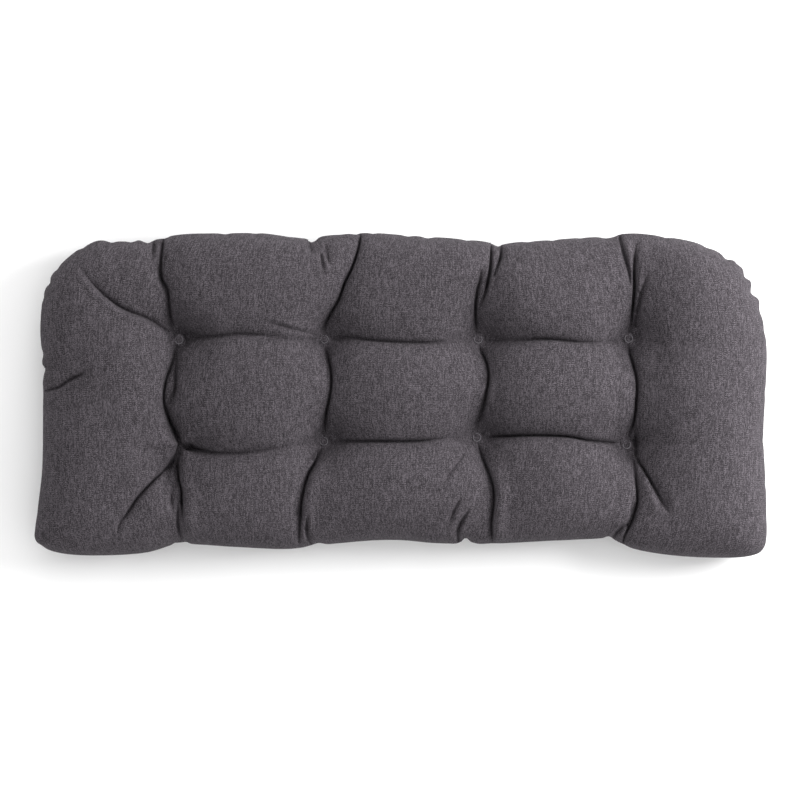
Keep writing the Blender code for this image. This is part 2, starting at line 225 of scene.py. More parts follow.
# %% [markdown]
# ## The creases
#
# A tuft pulls the cover down to a point, and the cloth between two tufts has to go somewhere: it folds
# into a crease that joins them. Each crease here is a row of a table. First come the places that it
# passes. Then comes how hard the cloth is held down along it: 1 is right down, and 0 is not at all.
# Last is how tightly the two pads close over it, which is what makes a crease a thin dark line and not
# an open valley. The creases across the cushion are deep and closed, because the cushion bends over
# them. The ones along it are shallow, and here and there they nearly vanish. Both lists of numbers are
# spread evenly along the crease, so they may be shorter or longer than the list of places.

# %% The table of creases
CREASES = [
    (["back_1", (-0.350, 0.112), (-0.3550, 0.160), (-0.3640, 0.176), (-0.3655, 0.200),
      (-0.3635, 0.224), (-0.361, 0.239)], (1, 1), (0.4, 0.6, 0.6, 0.9, 1)),
    (["back_1", (-0.3465, 0.056), (-0.3585, 0.020), (-0.3612, -0.012), (-0.3545, -0.036),
      (-0.343, -0.064), "front_1"], (1, 1), (0.4, 0.8, 1, 1, 0.7)),
    ([(-0.3425, 0.070), (-0.3420, 0.050), (-0.3418, 0.026), (-0.3440, 0.004), (-0.3510, -0.022)],
     (1, 1, 1, 0.95, 0.5), (0.2, 0.5, 0.7, 0.6, 0.1)),
    (["front_1", (-0.3406, -0.100), (-0.3386, -0.1285), (-0.3339, -0.148), (-0.3326, -0.180),
      (-0.331, -0.196)], (1, 1, 1, 1, 0.3), (0.5, 1, 1, 0.9, 0.3)),
    (["back_2", (-0.1150, 0.107), (-0.1060, 0.125), (-0.0940, 0.145), (-0.0842, 0.172),
      (-0.0742, 0.192), (-0.0645, 0.220), (-0.0600, 0.243)], (1, 1), (0.5, 0.9, 1, 1, 0.9)),
    (["back_2", (-0.1135, 0.068), (-0.1075, 0.044), (-0.1050, 0.020), (-0.1080, -0.004),
      (-0.1138, -0.032), "front_2"], (1, 1), (0.6, 0.9, 0.9, 0.7)),
    (["front_2", (-0.1298, -0.103), (-0.1398, -0.1205), (-0.1458, -0.1405), (-0.1505, -0.164),
      (-0.1525, -0.188), (-0.1537, -0.208), (-0.1545, -0.224)],
     (1, 1, 1, 1, 0.75), (0.4, 0.8, 0.8, 0.8, 0.4)),
    (["back_3", (0.1152, 0.113), (0.1144, 0.138), (0.1172, 0.161), (0.1207, 0.174),
      (0.1224, 0.188)], (1, 1, 1, 0.9, 0.2), (0.5, 1, 1, 0.9, 0.4)),
    ([(0.1225, 0.133), (0.1275, 0.146), (0.1320, 0.161), (0.1358, 0.184), (0.1378, 0.208),
      (0.1381, 0.235)], (0.5, 1, 1, 1), (0.3, 1, 1, 1)),
    ([(0.1450, 0.182), (0.1500, 0.197), (0.1537, 0.210), (0.1557, 0.231)], (0.3, 1, 1), (0.5, 1, 1)),
    (["back_3", (0.1219, 0.070), (0.1318, 0.048), (0.1350, 0.028), (0.1318, 0.004),
      (0.1259, -0.020), (0.1180, -0.044), "front_3"], (1, 1), (0.5, 1, 0.9, 0.8, 0.45, 0.35, 0.2)),
    (["front_3", (0.1219, -0.087), (0.1338, -0.1165), (0.1418, -0.1405), (0.1430, -0.164),
      (0.1398, -0.188), (0.1390, -0.204), (0.1406, -0.225)], (1, 1), (0.4, 0.7, 0.7, 0.6, 0.5)),
    (["back_4", (0.3525, 0.101), (0.3545, 0.129), (0.3567, 0.161), (0.3565, 0.188),
      (0.3585, 0.218), (0.3615, 0.241)], (1, 1, 1, 1, 0.9, 0.5), (0.7, 1, 1, 1, 0.7, 0.3, 0)),
    (["back_4", (0.3492, 0.070), (0.3550, 0.048), (0.3608, 0.020), (0.3598, -0.012),
      (0.3572, -0.040), "front_4"], (1, 1), (0.6, 1, 1, 1, 0.7)),
    (["front_4", (0.3545, -0.097), (0.3580, -0.118), (0.3605, -0.140), (0.3618, -0.159),
      (0.3600, -0.172), (0.3540, -0.192), (0.3440, -0.212), (0.3405, -0.226)],
     (1, 0.9, 0.9, 1, 1, 0.8), (0.4, 0.5, 0.9, 1, 0.8)),
    (["back_1", (-0.323, 0.089), (-0.287, 0.089), (-0.252, 0.093), (-0.222, 0.092),
      (-0.180, 0.088), "back_2"], (1, 0.85, 0.8, 0.5, 0.9), (0.2, 0.3, 0.35, 0, 0)),
    (["back_2", (-0.080, 0.088), (-0.040, 0.083), (0.010, 0.080), (0.050, 0.080),
      (0.082, 0.084), "back_3"], (1, 0.8, 0.75, 0.75, 0.7, 1), (0.3, 0.35, 0.55, 0.55, 0.2, 0.1)),
    (["back_3", (0.150, 0.084), (0.180, 0.083), (0.224, 0.085), (0.279, 0.080),
      (0.315, 0.081), "back_4"], (1, 0.88, 0.8, 0.75, 0.45, 0.9), (0.2, 0.2, 0.7, 0.6, 0.3, 0.1)),
    (["front_1", (-0.315, -0.082), (-0.287, -0.088), (-0.243, -0.089), (-0.207, -0.084),
      (-0.170, -0.078), "front_2"], (1, 0.88, 0.85, 0.7, 0.45, 0.9), (0.6, 0.3, 0.3, 0.2, 0)),
    (["front_2", (-0.080, -0.071), (-0.040, -0.071), (0.020, -0.071), (0.064, -0.067),
      "front_3"], (1, 0.85, 0.85, 0.8, 0.6, 1), (0.3, 0.4, 0.7, 0.7, 0.2, 0.1)),
    (["front_3", (0.150, -0.0635), (0.207, -0.062), (0.255, -0.064), (0.287, -0.070),
      (0.326, -0.0735), "front_4"], (1, 0.9, 0.88, 0.85, 0.7, 0.9), (0.6, 0.9, 1, 0.8, 0.4)),
    (["back_1", (-0.3824, 0.115), (-0.422, 0.131), (-0.450, 0.151), (-0.470, 0.1705),
      (-0.4837, 0.188), (-0.491, 0.198)], (0.9, 0.6, 0.55, 0.5, 0.1), (0.3, 0.5, 0.55, 0.25, 0)),
    (["front_1", (-0.3466, -0.101), (-0.3704, -0.1245), (-0.3983, -0.154), (-0.4142, -0.178),
      (-0.4261, -0.194), (-0.431, -0.208)], (1, 0.85, 0.85, 0.85, 0.4), (0.7, 0.8, 0.7, 0.6, 0.2)),
    (["back_4", (0.3650, 0.105), (0.382, 0.126), (0.408, 0.139)], (0.9, 0.5, 0.1), (0.1, 0)),
    ([(0.3590, -0.086), (0.3625, -0.098), (0.3734, -0.1165), (0.3883, -0.1445), (0.4022, -0.168),
      (0.412, -0.184)], (0.8, 1, 0.95, 0.85, 0.2), (0.6, 1, 0.9, 0.5, 0)),
    ([(-0.541, 0.006), (-0.530, 0.009), (-0.518, 0.013), (-0.506, 0.022), (-0.490, 0.029),
      (-0.472, 0.037)], (0.7, 0.8, 0.8, 0.3), (0.6, 0.5, 0.5, 0)),
]
print(len(CREASES), "creases")

# %% [markdown]
# ## Small folds, hollows and ridges
#
# Beside the big creases the cloth has short pleats, puckers and rolled ridges. They are only a few
# millimetres deep, so they need no solving. They come in three kinds, with a table for each. The first
# is a fold: a narrow slit with a soft slope on each side. Its depths are spread evenly along its way.
# It has one width for its left and one for its right, because cloth that is pushed from one side lies
# steep on that side only.

# %% The table of small folds
SMALL_FOLDS = [  # places, depths along the way in millimetres, widths in millimetres left and right
    ([(-0.3755, 0.240), (-0.3770, 0.224), (-0.3790, 0.206)], (14, 13, 3), 3, 5),
    ([(-0.3720, 0.200), (-0.3680, 0.182), (-0.3600, 0.160)], (1, 9, 7), 5, 3),
    ([(-0.3394, -0.166), (-0.3398, -0.190), (-0.3374, -0.208), (-0.3326, -0.224)], (3, 10, 11, 9), 4, 3),
    ([(-0.3480, -0.140), (-0.3492, -0.158), (-0.3470, -0.178)], (3, 8, 2), 6, 3),
    ([(-0.1412, 0.240), (-0.1375, 0.228), (-0.1345, 0.212)], (11, 9, 0), 4, 5),
    ([(-0.1205, 0.213), (-0.1175, 0.196), (-0.1140, 0.180)], (5, 5, 0), 3, 6),
    ([(-0.1130, 0.226), (-0.1105, 0.210), (-0.1070, 0.194)], (4, 4, 0), 3, 5),
    ([(-0.2115, 0.112), (-0.1845, 0.106), (-0.1560, 0.098), (-0.132, 0.092)], (0, 5, 5, 2), 5, 3),
    ([(-0.2230, 0.084), (-0.1900, 0.085), (-0.1590, 0.084), (-0.130, 0.083)], (2, 4, 4, 4), 4, 5),
    ([(-0.1470, -0.110), (-0.1370, -0.098), (-0.1260, -0.086)], (1, 6, 5), 6, 3),
    ([(-0.1398, -0.184), (-0.1425, -0.204), (-0.1398, -0.220), (-0.1358, -0.229)], (2, 11, 11, 9), 4, 3),
    ([(0.1480, 0.176), (0.1415, 0.160), (0.1360, 0.146)], (3, 3, 0), 4, 6),
    ([(0.1360, 0.014), (0.1345, -0.006), (0.1290, -0.026), (0.1240, -0.038)], (1, 5, 5, 2), 3, 5),
    ([(0.0885, -0.224), (0.0890, -0.204), (0.0980, -0.186), (0.1040, -0.174)], (11, 12, 9, 1), 6, 3),
    ([(0.0760, -0.190), (0.0830, -0.174), (0.0905, -0.160)], (3, 6, 2), 5, 3),
    ([(0.0640, -0.140), (0.0720, -0.124), (0.0820, -0.110), (0.0960, -0.092)], (0, 4, 5, 4), 9, 6),
    ([(0.3360, 0.247), (0.3364, 0.236), (0.3406, 0.216), (0.3473, 0.188), (0.3496, 0.160)],
     (12, 13, 11, 7, 0), 3, 3),
    ([(0.3780, 0.190), (0.3764, 0.180), (0.3704, 0.161), (0.3646, 0.133), (0.3590, 0.106)],
     (0, 5, 11, 14, 10), 3, 6),
    ([(0.3560, -0.158), (0.3540, -0.172), (0.3500, -0.188), (0.3450, -0.198)], (2, 8, 10, 8), 5, 3),
    ([(0.3242, -0.219), (0.3320, -0.207), (0.3386, -0.200), (0.3466, -0.198)], (11, 12, 9, 3), 3, 4),
    ([(0.3590, -0.040), (0.3605, -0.062), (0.3610, -0.078), (0.3630, -0.092)], (0, 10, 13, 6), 4, 8),
    ([(-0.556, -0.228), (-0.542, -0.222), (-0.524, -0.214)], (4, 3, 0), 5, 5),
    ([(-0.541, 0.043), (-0.530, 0.041), (-0.512, 0.040)], (4, 2, 0), 5, 5),
    ([(-0.498, 0.030), (-0.486, 0.032), (-0.474, 0.041)], (1, 3, 0), 4, 6),
]
print(len(SMALL_FOLDS), "small folds")

# %% [markdown]
# A hollow has the slopes of a fold without its slit. The broad ones lie along the creases and on the end
# panels: they make one side of a pad longer than the other, so that it leans, as a pad does when its
# filling has moved. The narrow ones deepen the cloth beside a tuft.

# %% The table of hollows
HOLLOWS = [  # places, depths along the way in millimetres, widths in millimetres left and right
    ([(0.355, 0.086), (0.400, 0.078), (0.455, 0.074), (0.520, 0.076)], (9, 6, 3, 0), 24, 24),
    ([(0.350, -0.078), (0.400, -0.074), (0.450, -0.074), (0.510, -0.080)], (9, 6, 3, 0), 24, 22),
    ([(-0.340, 0.084), (-0.380, 0.076), (-0.430, 0.066)], (7, 3, 0), 20, 20),
    ([(-0.342, -0.086), (-0.385, -0.084), (-0.440, -0.074)], (7, 3, 0), 20, 20),
    ([(0.385, 0.210), (0.384, 0.100), (0.390, 0.010), (0.386, -0.080)], (3, 7, 6, 4), 30, 45),
    ([(-0.376, 0.116), (-0.412, 0.155), (-0.435, 0.195)], (6, 7, 3), 28, 28),
    ([(-0.375, 0.106), (-0.422, 0.130), (-0.450, 0.150), (-0.485, 0.186)], (6, 7, 7, 4), 5, 20),
    ([(-0.3440, 0.010), (-0.3560, -0.020), (-0.3500, -0.045), (-0.3430, -0.062)], (6, 11, 11, 9), 16, 3),
    ([(-0.350, -0.104), (-0.357, -0.125), (-0.361, -0.150)], (12, 12, 6), 14, 5),
    ([(-0.450, 0.080), (-0.455, 0.000), (-0.450, -0.090), (-0.450, -0.160)], (3, 4, 4, 2), 55, 55),
    ([(-0.341, 0.102), (-0.336, 0.095), (-0.326, 0.089)], (12, 14, 8), 13, 5),
    ([(-0.352, -0.035), (-0.344, -0.055), (-0.334, -0.068)], (3, 9, 8), 18, 4),
    ([(0.120, 0.030), (0.116, -0.010), (0.105, -0.050)], (2, 4, 3), 6, 35),
    ([(0.335, 0.215), (0.330, 0.170), (0.325, 0.120)], (2, 4, 3), 6, 45),
    ([(0.338, 0.050), (0.335, 0.000), (0.330, -0.045)], (2, 4, 3), 6, 40),
    ([(0.335, -0.100), (0.335, -0.140), (0.330, -0.180)], (2, 3, 3), 6, 40),
    ([(-0.3420, 0.070), (-0.3340, 0.104), (-0.3300, 0.140)], (5, 3, 0), 6, 16),
    ([(-0.330, 0.086), (-0.287, 0.089), (-0.222, 0.092), (-0.150, 0.086)], (6, 4, 3, 1), 12, 8),
    ([(-0.100, 0.088), (-0.040, 0.083), (0.050, 0.080), (0.100, 0.084)], (9, 8, 6, 0), 28, 8),
    ([(0.125, 0.086), (0.160, 0.086), (0.224, 0.086), (0.300, 0.082)], (14, 14, 10, 2), 32, 10),
    ([(-0.330, -0.080), (-0.287, -0.087), (-0.207, -0.084), (-0.140, -0.074)], (9, 6, 3, 0), 22, 10),
    ([(-0.105, -0.070), (-0.040, -0.071), (0.020, -0.071), (0.100, -0.066)], (9, 9, 8, 0), 28, 14),
    ([(0.125, -0.063), (0.160, -0.062), (0.255, -0.062), (0.335, -0.074)], (14, 14, 10, 2), 30, 14),
]
print(len(HOLLOWS), "hollows")

# %% [markdown]
# A ridge is the opposite: a soft swelling along a line. The narrow ones are rolls of loose cloth beside
# a fold. The broad ones, 40 mm and more to each side, are the crowns of the pads where the filling is
# fullest, and they are seldom in the middle of a pad.

# %% The table of ridges
RIDGES = [  # places, heights along the way in millimetres, half width in millimetres
    ([(-0.1315, 0.214), (-0.1255, 0.196), (-0.1190, 0.172)], (0, 2.4, 0), 4),
    ([(-0.1180, 0.212), (-0.1130, 0.196)], (1, 1.6), 3),
    ([(-0.2110, 0.119), (-0.1845, 0.113), (-0.1560, 0.105)], (0, 1.8, 0.5), 4),
    ([(0.1385, 0.016), (0.1360, -0.008), (0.1290, -0.032)], (2, 6, 3), 3.5),
    ([(0.1430, 0.208), (0.1440, 0.194), (0.1400, 0.172)], (1, 2.4, 0.5), 3),
    ([(0.3475, 0.232), (0.3490, 0.208), (0.3520, 0.180), (0.3500, 0.140)], (2, 3.5, 3, 0), 3),
    ([(0.3690, 0.205), (0.3660, 0.176), (0.3620, 0.146)], (0.5, 3, 1.5), 3),
    ([(-0.3430, -0.150), (-0.3425, -0.176), (-0.3440, -0.200)], (0.5, 2, 0.5), 3),
    ([(-0.1360, -0.186), (-0.1370, -0.204)], (2.4, 1), 3),
    ([(0.0960, -0.204), (0.1010, -0.186)], (2, 2), 4),
    ([(0.0820, -0.200), (0.0870, -0.182), (0.0930, -0.168)], (1.5, 2.2, 0.5), 4),
    ([(0.3320, -0.199), (0.3400, -0.192)], (2, 1.5), 4),
    ([(-0.512, 0.030), (-0.494, 0.042)], (1.5, 1), 5),
    ([(-0.379, -0.117), (-0.408, -0.147), (-0.424, -0.171), (-0.436, -0.188)], (1, 3, 3, 1), 11),
    ([(0.148, 0.226), (0.156, 0.192), (0.190, 0.160), (0.230, 0.130)], (11, 14, 12, 5), 60),
    ([(0.470, 0.160), (0.455, 0.200), (0.430, 0.225)], (3, 5, 4), 40),
    ([(0.222, 0.060), (0.230, 0.020), (0.225, -0.030)], (4, 9, 6), 55),
    ([(0.245, -0.100), (0.245, -0.170)], (5, 6), 50),
    ([(-0.010, 0.050), (-0.006, 0.010), (-0.014, -0.040)], (4, 8, 5), 55),
    ([(-0.020, -0.100), (-0.020, -0.170)], (5, 6), 55),
    ([(0.139, -0.105), (0.151, -0.145), (0.148, -0.190), (0.150, -0.220)], (4, 11, 11, 8), 11),
    ([(-0.122, -0.105), (-0.136, -0.140), (-0.142, -0.170), (-0.146, -0.210)], (4, 8, 8, 5), 10),
    ([(-0.331, -0.105), (-0.329, -0.130), (-0.324, -0.160), (-0.322, -0.200)], (3, 7, 7, 5), 11),
    ([(0.367, -0.112), (0.377, -0.140), (0.388, -0.172)], (6, 9, 4), 9),
    ([(-0.215, 0.050), (-0.215, -0.040)], (4, 4), 50),
    ([(0.480, 0.150), (0.480, 0.060), (0.470, -0.060)], (3, 1, 1), 60),
    ([(-0.376, 0.104), (-0.4246, 0.1245), (-0.454, 0.145), (-0.475, 0.165), (-0.490, 0.184)],
     (4, 6, 5, 4, 1), 7),
    ([(-0.364, -0.040), (-0.364, -0.070), (-0.360, -0.092)], (3, 5, 4), 9),
    ([(0.132, -0.150), (0.129, -0.190), (0.130, -0.222)], (1, 3, 3), 5),
    ([(0.3930, -0.120), (0.4070, -0.147), (0.4200, -0.170)], (1, 3, 2), 9),
]
print(len(RIDGES), "ridges")

# %% [markdown]
# One thing is the same at every tuft: the pad at its right is drawn down, and the pad at its left stays
# full. A loop writes those rows, so they follow the tufts wherever the solid model has them. A way may
# also name a tuft instead of giving a place, and a small helper looks it up.

# %% The cloth beside each tuft
for name in TUFT_NAMES:
    x, y = tufts[name]
    drawn_down = [(x + 0.009, y + 0.004), (x + 0.021, y + 0.010), (x + 0.038, y + 0.014)]
    HOLLOWS.append((drawn_down, (8, 9, 2), 9, 9))
    RIDGES.append(([(x - 0.036, y + 0.012), (x - 0.020, y + 0.012)], (3, 4), 12))


def places_of(way):
    """The places along a way, with each tuft's name looked up."""
    return np.array([tufts[stop] if isinstance(stop, str) else stop for stop in way])


print("with those of the tufts,", len(HOLLOWS), "hollows and", len(RIDGES), "ridges")

# %% [markdown]
# ## Points for the cover
#
# Blender can make a grid in one call, but a grid doesn't follow the creases: its squares would cut
# across them and leave a row of teeth. We spread the points ourselves, in order of importance: the
# edge, the small flats of the tufts, the creases and folds, rows close beside all of these where the
# cloth turns steeply, and then an even lattice on the pads. A point is left out if it would crowd one
# that is already there. Constrained Delaunay triangulation then joins them, and keeps every crease as
# a line of edges.

# %% A plan of points
CREASE_STEP = 0.0032 if FINE else 0.0065
TUFT_FLAT = 0.0085
CELL = 0.0080


def has_room(cells, point, gap):
    """Whether no point lies nearer than the gap. The plan is cut in square cells, and few are read."""
    column, row = int(point[0] // CELL), int(point[1] // CELL)
    for i in (column - 1, column, column + 1):
        for j in (row - 1, row, row + 1):
            for x, y in cells.get((i, j), ()):
                if (x - point[0]) ** 2 + (y - point[1]) ** 2 < gap * gap:
                    return False
    return True


def inside_edge(points):
    """Which points lie inside the edge line: an odd number of edges to their right."""
    ends = np.roll(edge, -1, 0)
    found = np.zeros(len(points), int)
    for (ax, ay), (bx, by) in zip(edge, ends):
        crosses = (ay > points[:, 1]) != (by > points[:, 1])
        if ay != by:
            found += crosses & (ax + (points[:, 1] - ay) / (by - ay) * (bx - ax) > points[:, 0])
    return found % 2 == 1


def from_tufts(points):
    """How far each point is from the nearest tuft."""
    return np.min([np.linalg.norm(points - tuft, axis=1) for tuft in tufts.values()], axis=0)


class Plan:
    """The flat plan of one face: its points, how hard each is held, and which lines must be edges."""

    def __init__(self):
        self.points, self.held, self.lines, self.cells = [], [], [], {}

    def put(self, point, hold=0.0):
        self.points.append((float(point[0]), float(point[1])))
        self.held.append(hold)
        cell = (int(point[0] // CELL), int(point[1] // CELL))
        self.cells.setdefault(cell, []).append(self.points[-1])
        return len(self.points) - 1

    def fill(self, points, gap):
        points = np.asarray(points)
        for point in points[inside_edge(points) & (from_tufts(points) > TUFT_FLAT + 0.0010)]:
            if has_room(self.cells, point, gap):
                self.put(point)

    def draw(self, line, hold, gap):
        previous = None
        clear = inside_edge(line) & (from_tufts(line) > TUFT_FLAT + 0.0010)
        for point, held, free in zip(line, hold, clear):
            index = self.put(point, held) if free and has_room(self.cells, point, gap) else None
            if index is not None and previous is not None:
                self.lines.append((previous, index))
            previous = index


print("creases get a point every", 1000 * CREASE_STEP, "mm")

# %% [markdown]
# The order matters. The edge goes in first and is never thinned, so both faces can share it. A tuft is
# five rings round one point, because its stitches need a smooth, round seat.

# %% Spread the points and join them
TUFT_RINGS = ((0.0030, 6), (0.0052, 10), (0.0062, 12), (0.0072, 14), (TUFT_FLAT, 16))


def lattice(step):
    """Even points over the whole cushion, every second row shifted by half a step."""
    rows = np.arange(edge[:, 1].min(), edge[:, 1].max(), step * math.sqrt(0.75))
    columns = np.arange(edge[:, 0].min(), edge[:, 0].max(), step)
    return np.array([(x + step / 2 * (j % 2), y) for j, y in enumerate(rows) for x in columns])


def beside(line, offset):
    """The same line moved to its left and to its right."""
    side = left_of(line) * offset
    return np.vstack([line + side, line - side])


def make_plan(creases, folds, pad_step, edge_rows, crease_rows, fold_rows):
    """The plan of one face. The rows say how far from an edge or line its neighbouring rows lie."""
    plan = Plan()
    for point in edge:
        plan.put(point)
    plan.lines += [(i, (i + 1) % len(edge)) for i in range(len(edge))]
    for tuft in tufts.values():
        plan.put(tuft, 1.0)
        for radius, count in TUFT_RINGS:
            turn = np.arange(count) * math.tau / count
            ring = [plan.put(tuft + radius * np.array([math.cos(t), math.sin(t)]), 1.0) for t in turn]
            plan.lines += list(zip(ring, ring[1:] + ring[:1]))
    crease_lines, fold_lines = [], []
    for way, hold, _ in creases:
        line, share = smooth(places_of(way), CREASE_STEP)
        plan.draw(line, np.interp(share, np.linspace(0, 1, len(hold)), hold), CREASE_STEP * 0.6)
        crease_lines.append(line)
    for way, *_ in folds:
        line, _ = smooth(places_of(way), CREASE_STEP)
        plan.draw(line, np.zeros(len(line)), CREASE_STEP * 0.5)
        fold_lines.append(line)
    for row in edge_rows:
        plan.fill(edge + inward * row, min(0.6 * EDGE_STEP, row * 0.8))
    for row in crease_rows:
        for line in crease_lines:
            plan.fill(beside(line, row), min(0.6 * CREASE_STEP, row * 0.7))
    for row in fold_rows:
        for line in fold_lines:
            plan.fill(beside(line, row), min(0.6 * CREASE_STEP, row * 0.7))
    plan.fill(lattice(pad_step), 0.72 * pad_step)
    return plan


def triangulate(plan):
    """The plan's places, how hard each is held, and the triangles that join them."""
    corners = [Vector(point) for point in plan.points]
    found, _, faces, sources, _, _ = delaunay_2d_cdt(corners, plan.lines, [], 1, 1e-7)
    held = [max((plan.held[source] for source in origin), default=0.0) for origin in sources]
    return np.array([tuple(point) for point in found]), np.array(held), np.array(faces)


PAD_STEP = 0.0042 if FINE else 0.0085
EDGE_ROWS = (0.0010, 0.0026, 0.0050, 0.0082, 0.0120)
CREASE_ROWS = (0.0008, 0.0020, 0.0042)
FOLD_ROWS = (0.0009, 0.0020, 0.0036)
face_plan = make_plan(CREASES, SMALL_FOLDS + RIDGES, PAD_STEP, EDGE_ROWS, CREASE_ROWS, FOLD_ROWS)
face_at, face_held, face_triangles = triangulate(face_plan)
print(len(face_at), "points and", len(face_triangles), "triangles on the face")

# %% [markdown]
# ## How a stuffed cover swells
#
# A stuffed cover is nearly flat far from its edge and falls ever faster towards it, like the cap of a
# mushroom. The same happens beside every crease. One equation gives both: let a skin be pulled up
# evenly and tied down at some points, and ask how high each point gets. It is Laplace's equation with
# a spring back to full height, and its one number is the distance over which the cloth recovers. We
# solve it on our own triangles with the conjugate gradient method, which needs nothing but numpy.

# %% Solve for the swelling
def swell(places, triangles, held, spacing, distance):
    """How full the cloth is at each point, from 0 where it is held down to 1 far from there."""
    pairs, weights, area = [], [], np.zeros(len(places))
    for corner in range(3):
        a, b, c = (triangles[:, (corner + k) % 3] for k in range(3))
        to_b, to_c = places[b] - places[a], places[c] - places[a]
        twice = abs(to_b[:, 0] * to_c[:, 1] - to_b[:, 1] * to_c[:, 0]) + 1e-12
        pairs.append(np.stack([b, c], 1))
        weights.append(0.5 * (to_b * to_c).sum(1) / twice)
        area += np.bincount(a, twice / 6, len(places))
    pairs, weights = np.vstack(pairs), np.clip(np.concatenate(weights), -5, 20)
    spring = area / distance**2
    nail = 2 * spacing / distance * held / np.maximum(1 - held, 1e-4)

    def pull(value):
        slope = weights * (value[pairs[:, 0]] - value[pairs[:, 1]])
        total = np.bincount(pairs[:, 0], slope, len(value)) - np.bincount(pairs[:, 1], slope, len(value))
        return total + (spring + nail) * value

    full = np.ones(len(places))
    rest = spring - pull(full)
    scale = spring + nail + np.bincount(pairs.ravel(), np.repeat(weights, 2), len(places))
    scale = np.maximum(scale, 1e-6)
    step = rest / scale
    energy = rest @ step
    for turn in range(900):
        reply = pull(step)
        amount = energy / (step @ reply)
        full = full + amount * step
        rest = rest - amount * reply
        ready = rest / scale
        before, energy = energy, rest @ ready
        if energy < 1e-13:
            break
        step = ready + energy / before * step
    return np.clip(full, 0, 1), turn


print("on the face that is one equation for each of", len(face_at), "points")

# %% [markdown]
# ## From swelling to height
#
# The height over the seam is the product of two swellings, one from the edge and one from the creases.
# Near a tuft the floor of a crease is pulled down almost to the tuft, and half way between two tufts
# it floats back up, so the floor is never level. A power under 1 makes the pads' sides stand up, as
# stuffed cloth does: the smaller it is, the steeper they are. They are steepest along the folded front
# and slackest beside a tuft, where the stitches draw the cloth down to a funnel. At one tuft the pads
# are so full that they close over the funnel and bury it, so there they stand steepest of all.

# %% The height of the cloth
CROWN_RISE = 1.05 * (float(corners[:, 2].max()) - SEAM_HEIGHT)
VALLEY_RISE = 0.035
TUFT_REACH = 0.048
EDGE_ROUNDING = 0.032
CREASE_ROUNDING = 0.042
BURIED = "front_1"


def near_tufts(places, reach):
    """1 on a tuft, fading to 0 away from it."""
    away = np.maximum(from_tufts(places) - TUFT_FLAT, 0)
    return np.exp(-((away / reach) ** 2))


def shape_of(places, triangles, held, valley, crown):
    """How far each point stands off the seam's level, and how free it is of the edge."""
    on_edge = (np.arange(len(places)) < len(edge)).astype(float)
    from_edge, turns = swell(places, triangles, on_edge, EDGE_STEP, EDGE_ROUNDING)
    from_creases, more = swell(places, triangles, held, CREASE_STEP, CREASE_ROUNDING)
    print("solved in", turns, "and", more, "turns")
    folded = np.clip(1 - (places[:, 1] - edge[:, 1].min()) / 0.150, 0, 1)
    edge_power = 0.6 - 0.1 * np.clip(folded * 2 - 0.9, 0, 1)
    crease_power = 0.60 - 0.20 * folded + 0.22 * near_tufts(places, 0.028)
    from_buried = np.linalg.norm(places - tufts[BURIED], axis=1)
    crease_power -= 0.48 * np.exp(-((from_buried / 0.030) ** 2))
    floor = valley + (TUFT_RISE - valley) * near_tufts(places, TUFT_REACH)
    rise = from_edge**edge_power * (floor + (crown - floor) * from_creases**crease_power)
    return rise, from_edge


face_rise, face_open = shape_of(face_at, face_triangles, face_held, VALLEY_RISE, CROWN_RISE)
print("the face rises", round(float(face_rise.max()), 4), "m above the seam")

# %% [markdown]
# ## A little disorder
#
# Loose fibre is never spread quite evenly, so the pads get a slow unevenness: a long wave, and a short
# and lower one on it. Both come from Blender's own noise, which is the same on every run. They fade out
# at the edge and at the tufts, which are sewn.

# %% Unevenness
def unevenness(places, size, seed):
    """A slow, smooth unevenness between about -1 and 1."""
    return np.array([noise.noise(Vector((x / size, y / size, seed))) for x, y in places])


loose = np.sqrt(face_open) * (1 - near_tufts(face_at, 0.030))
uneven = 0.0024 * unevenness(face_at, 0.085, 3.1) + 0.0009 * unevenness(face_at, 0.030, 8.4)
face_rise += loose * uneven
face_tuft = from_tufts(face_at) < TUFT_FLAT + 0.0001
face_rise[face_tuft] = TUFT_RISE
face_rise[: len(edge)] = 0
print("the pads are uneven by up to", round(1000 * float(abs(loose * uneven).max()), 1), "mm")

# %% [markdown]
# ## The underside
#
# Under the cushion the creases run straight from tuft to tuft, and the pads are pressed flat on the
# seat. It is made in the same way with a coarser lattice, and shares the edge line with the face, so
# the two halves close into one skin. A pad that would reach below the seat is eased into a flat patch.

# %% Shape the underside
UNDER_CREASES = [
    ([a, b], (1, 1), ())
    for a, b in zip(TUFT_NAMES, TUFT_NAMES[1:] + TUFT_NAMES[:1])
    if a[:-1] == b[:-1]
]
UNDER_CREASES += [([f"back_{n}", f"front_{n}"], (1, 1), ()) for n in (1, 2, 3, 4)]
UNDER_ENDS = [
    ("back_1", (-0.363, 0.234)),
    ("back_2", (-0.125, 0.234)),
    ("back_3", (0.140, 0.224)),
    ("back_4", (0.345, 0.236)),
    ("front_1", (-0.336, -0.218)),
    ("front_2", (-0.128, -0.220)),
    ("front_3", (0.110, -0.214)),
    ("front_4", (0.330, -0.212)),
]
UNDER_CREASES += [([tuft, end], (1, 1), ()) for tuft, end in UNDER_ENDS]
UNDER_VALLEY = 0.036
UNDER_CROWN = 0.066
UNDER_STEP = 0.0080 if FINE else 0.0130
UNDER_EDGE_ROWS = (0.0010, 0.0030, 0.0070)
UNDER_CREASE_ROWS = (0.0018, 0.0050)
PRESSED = 0.006

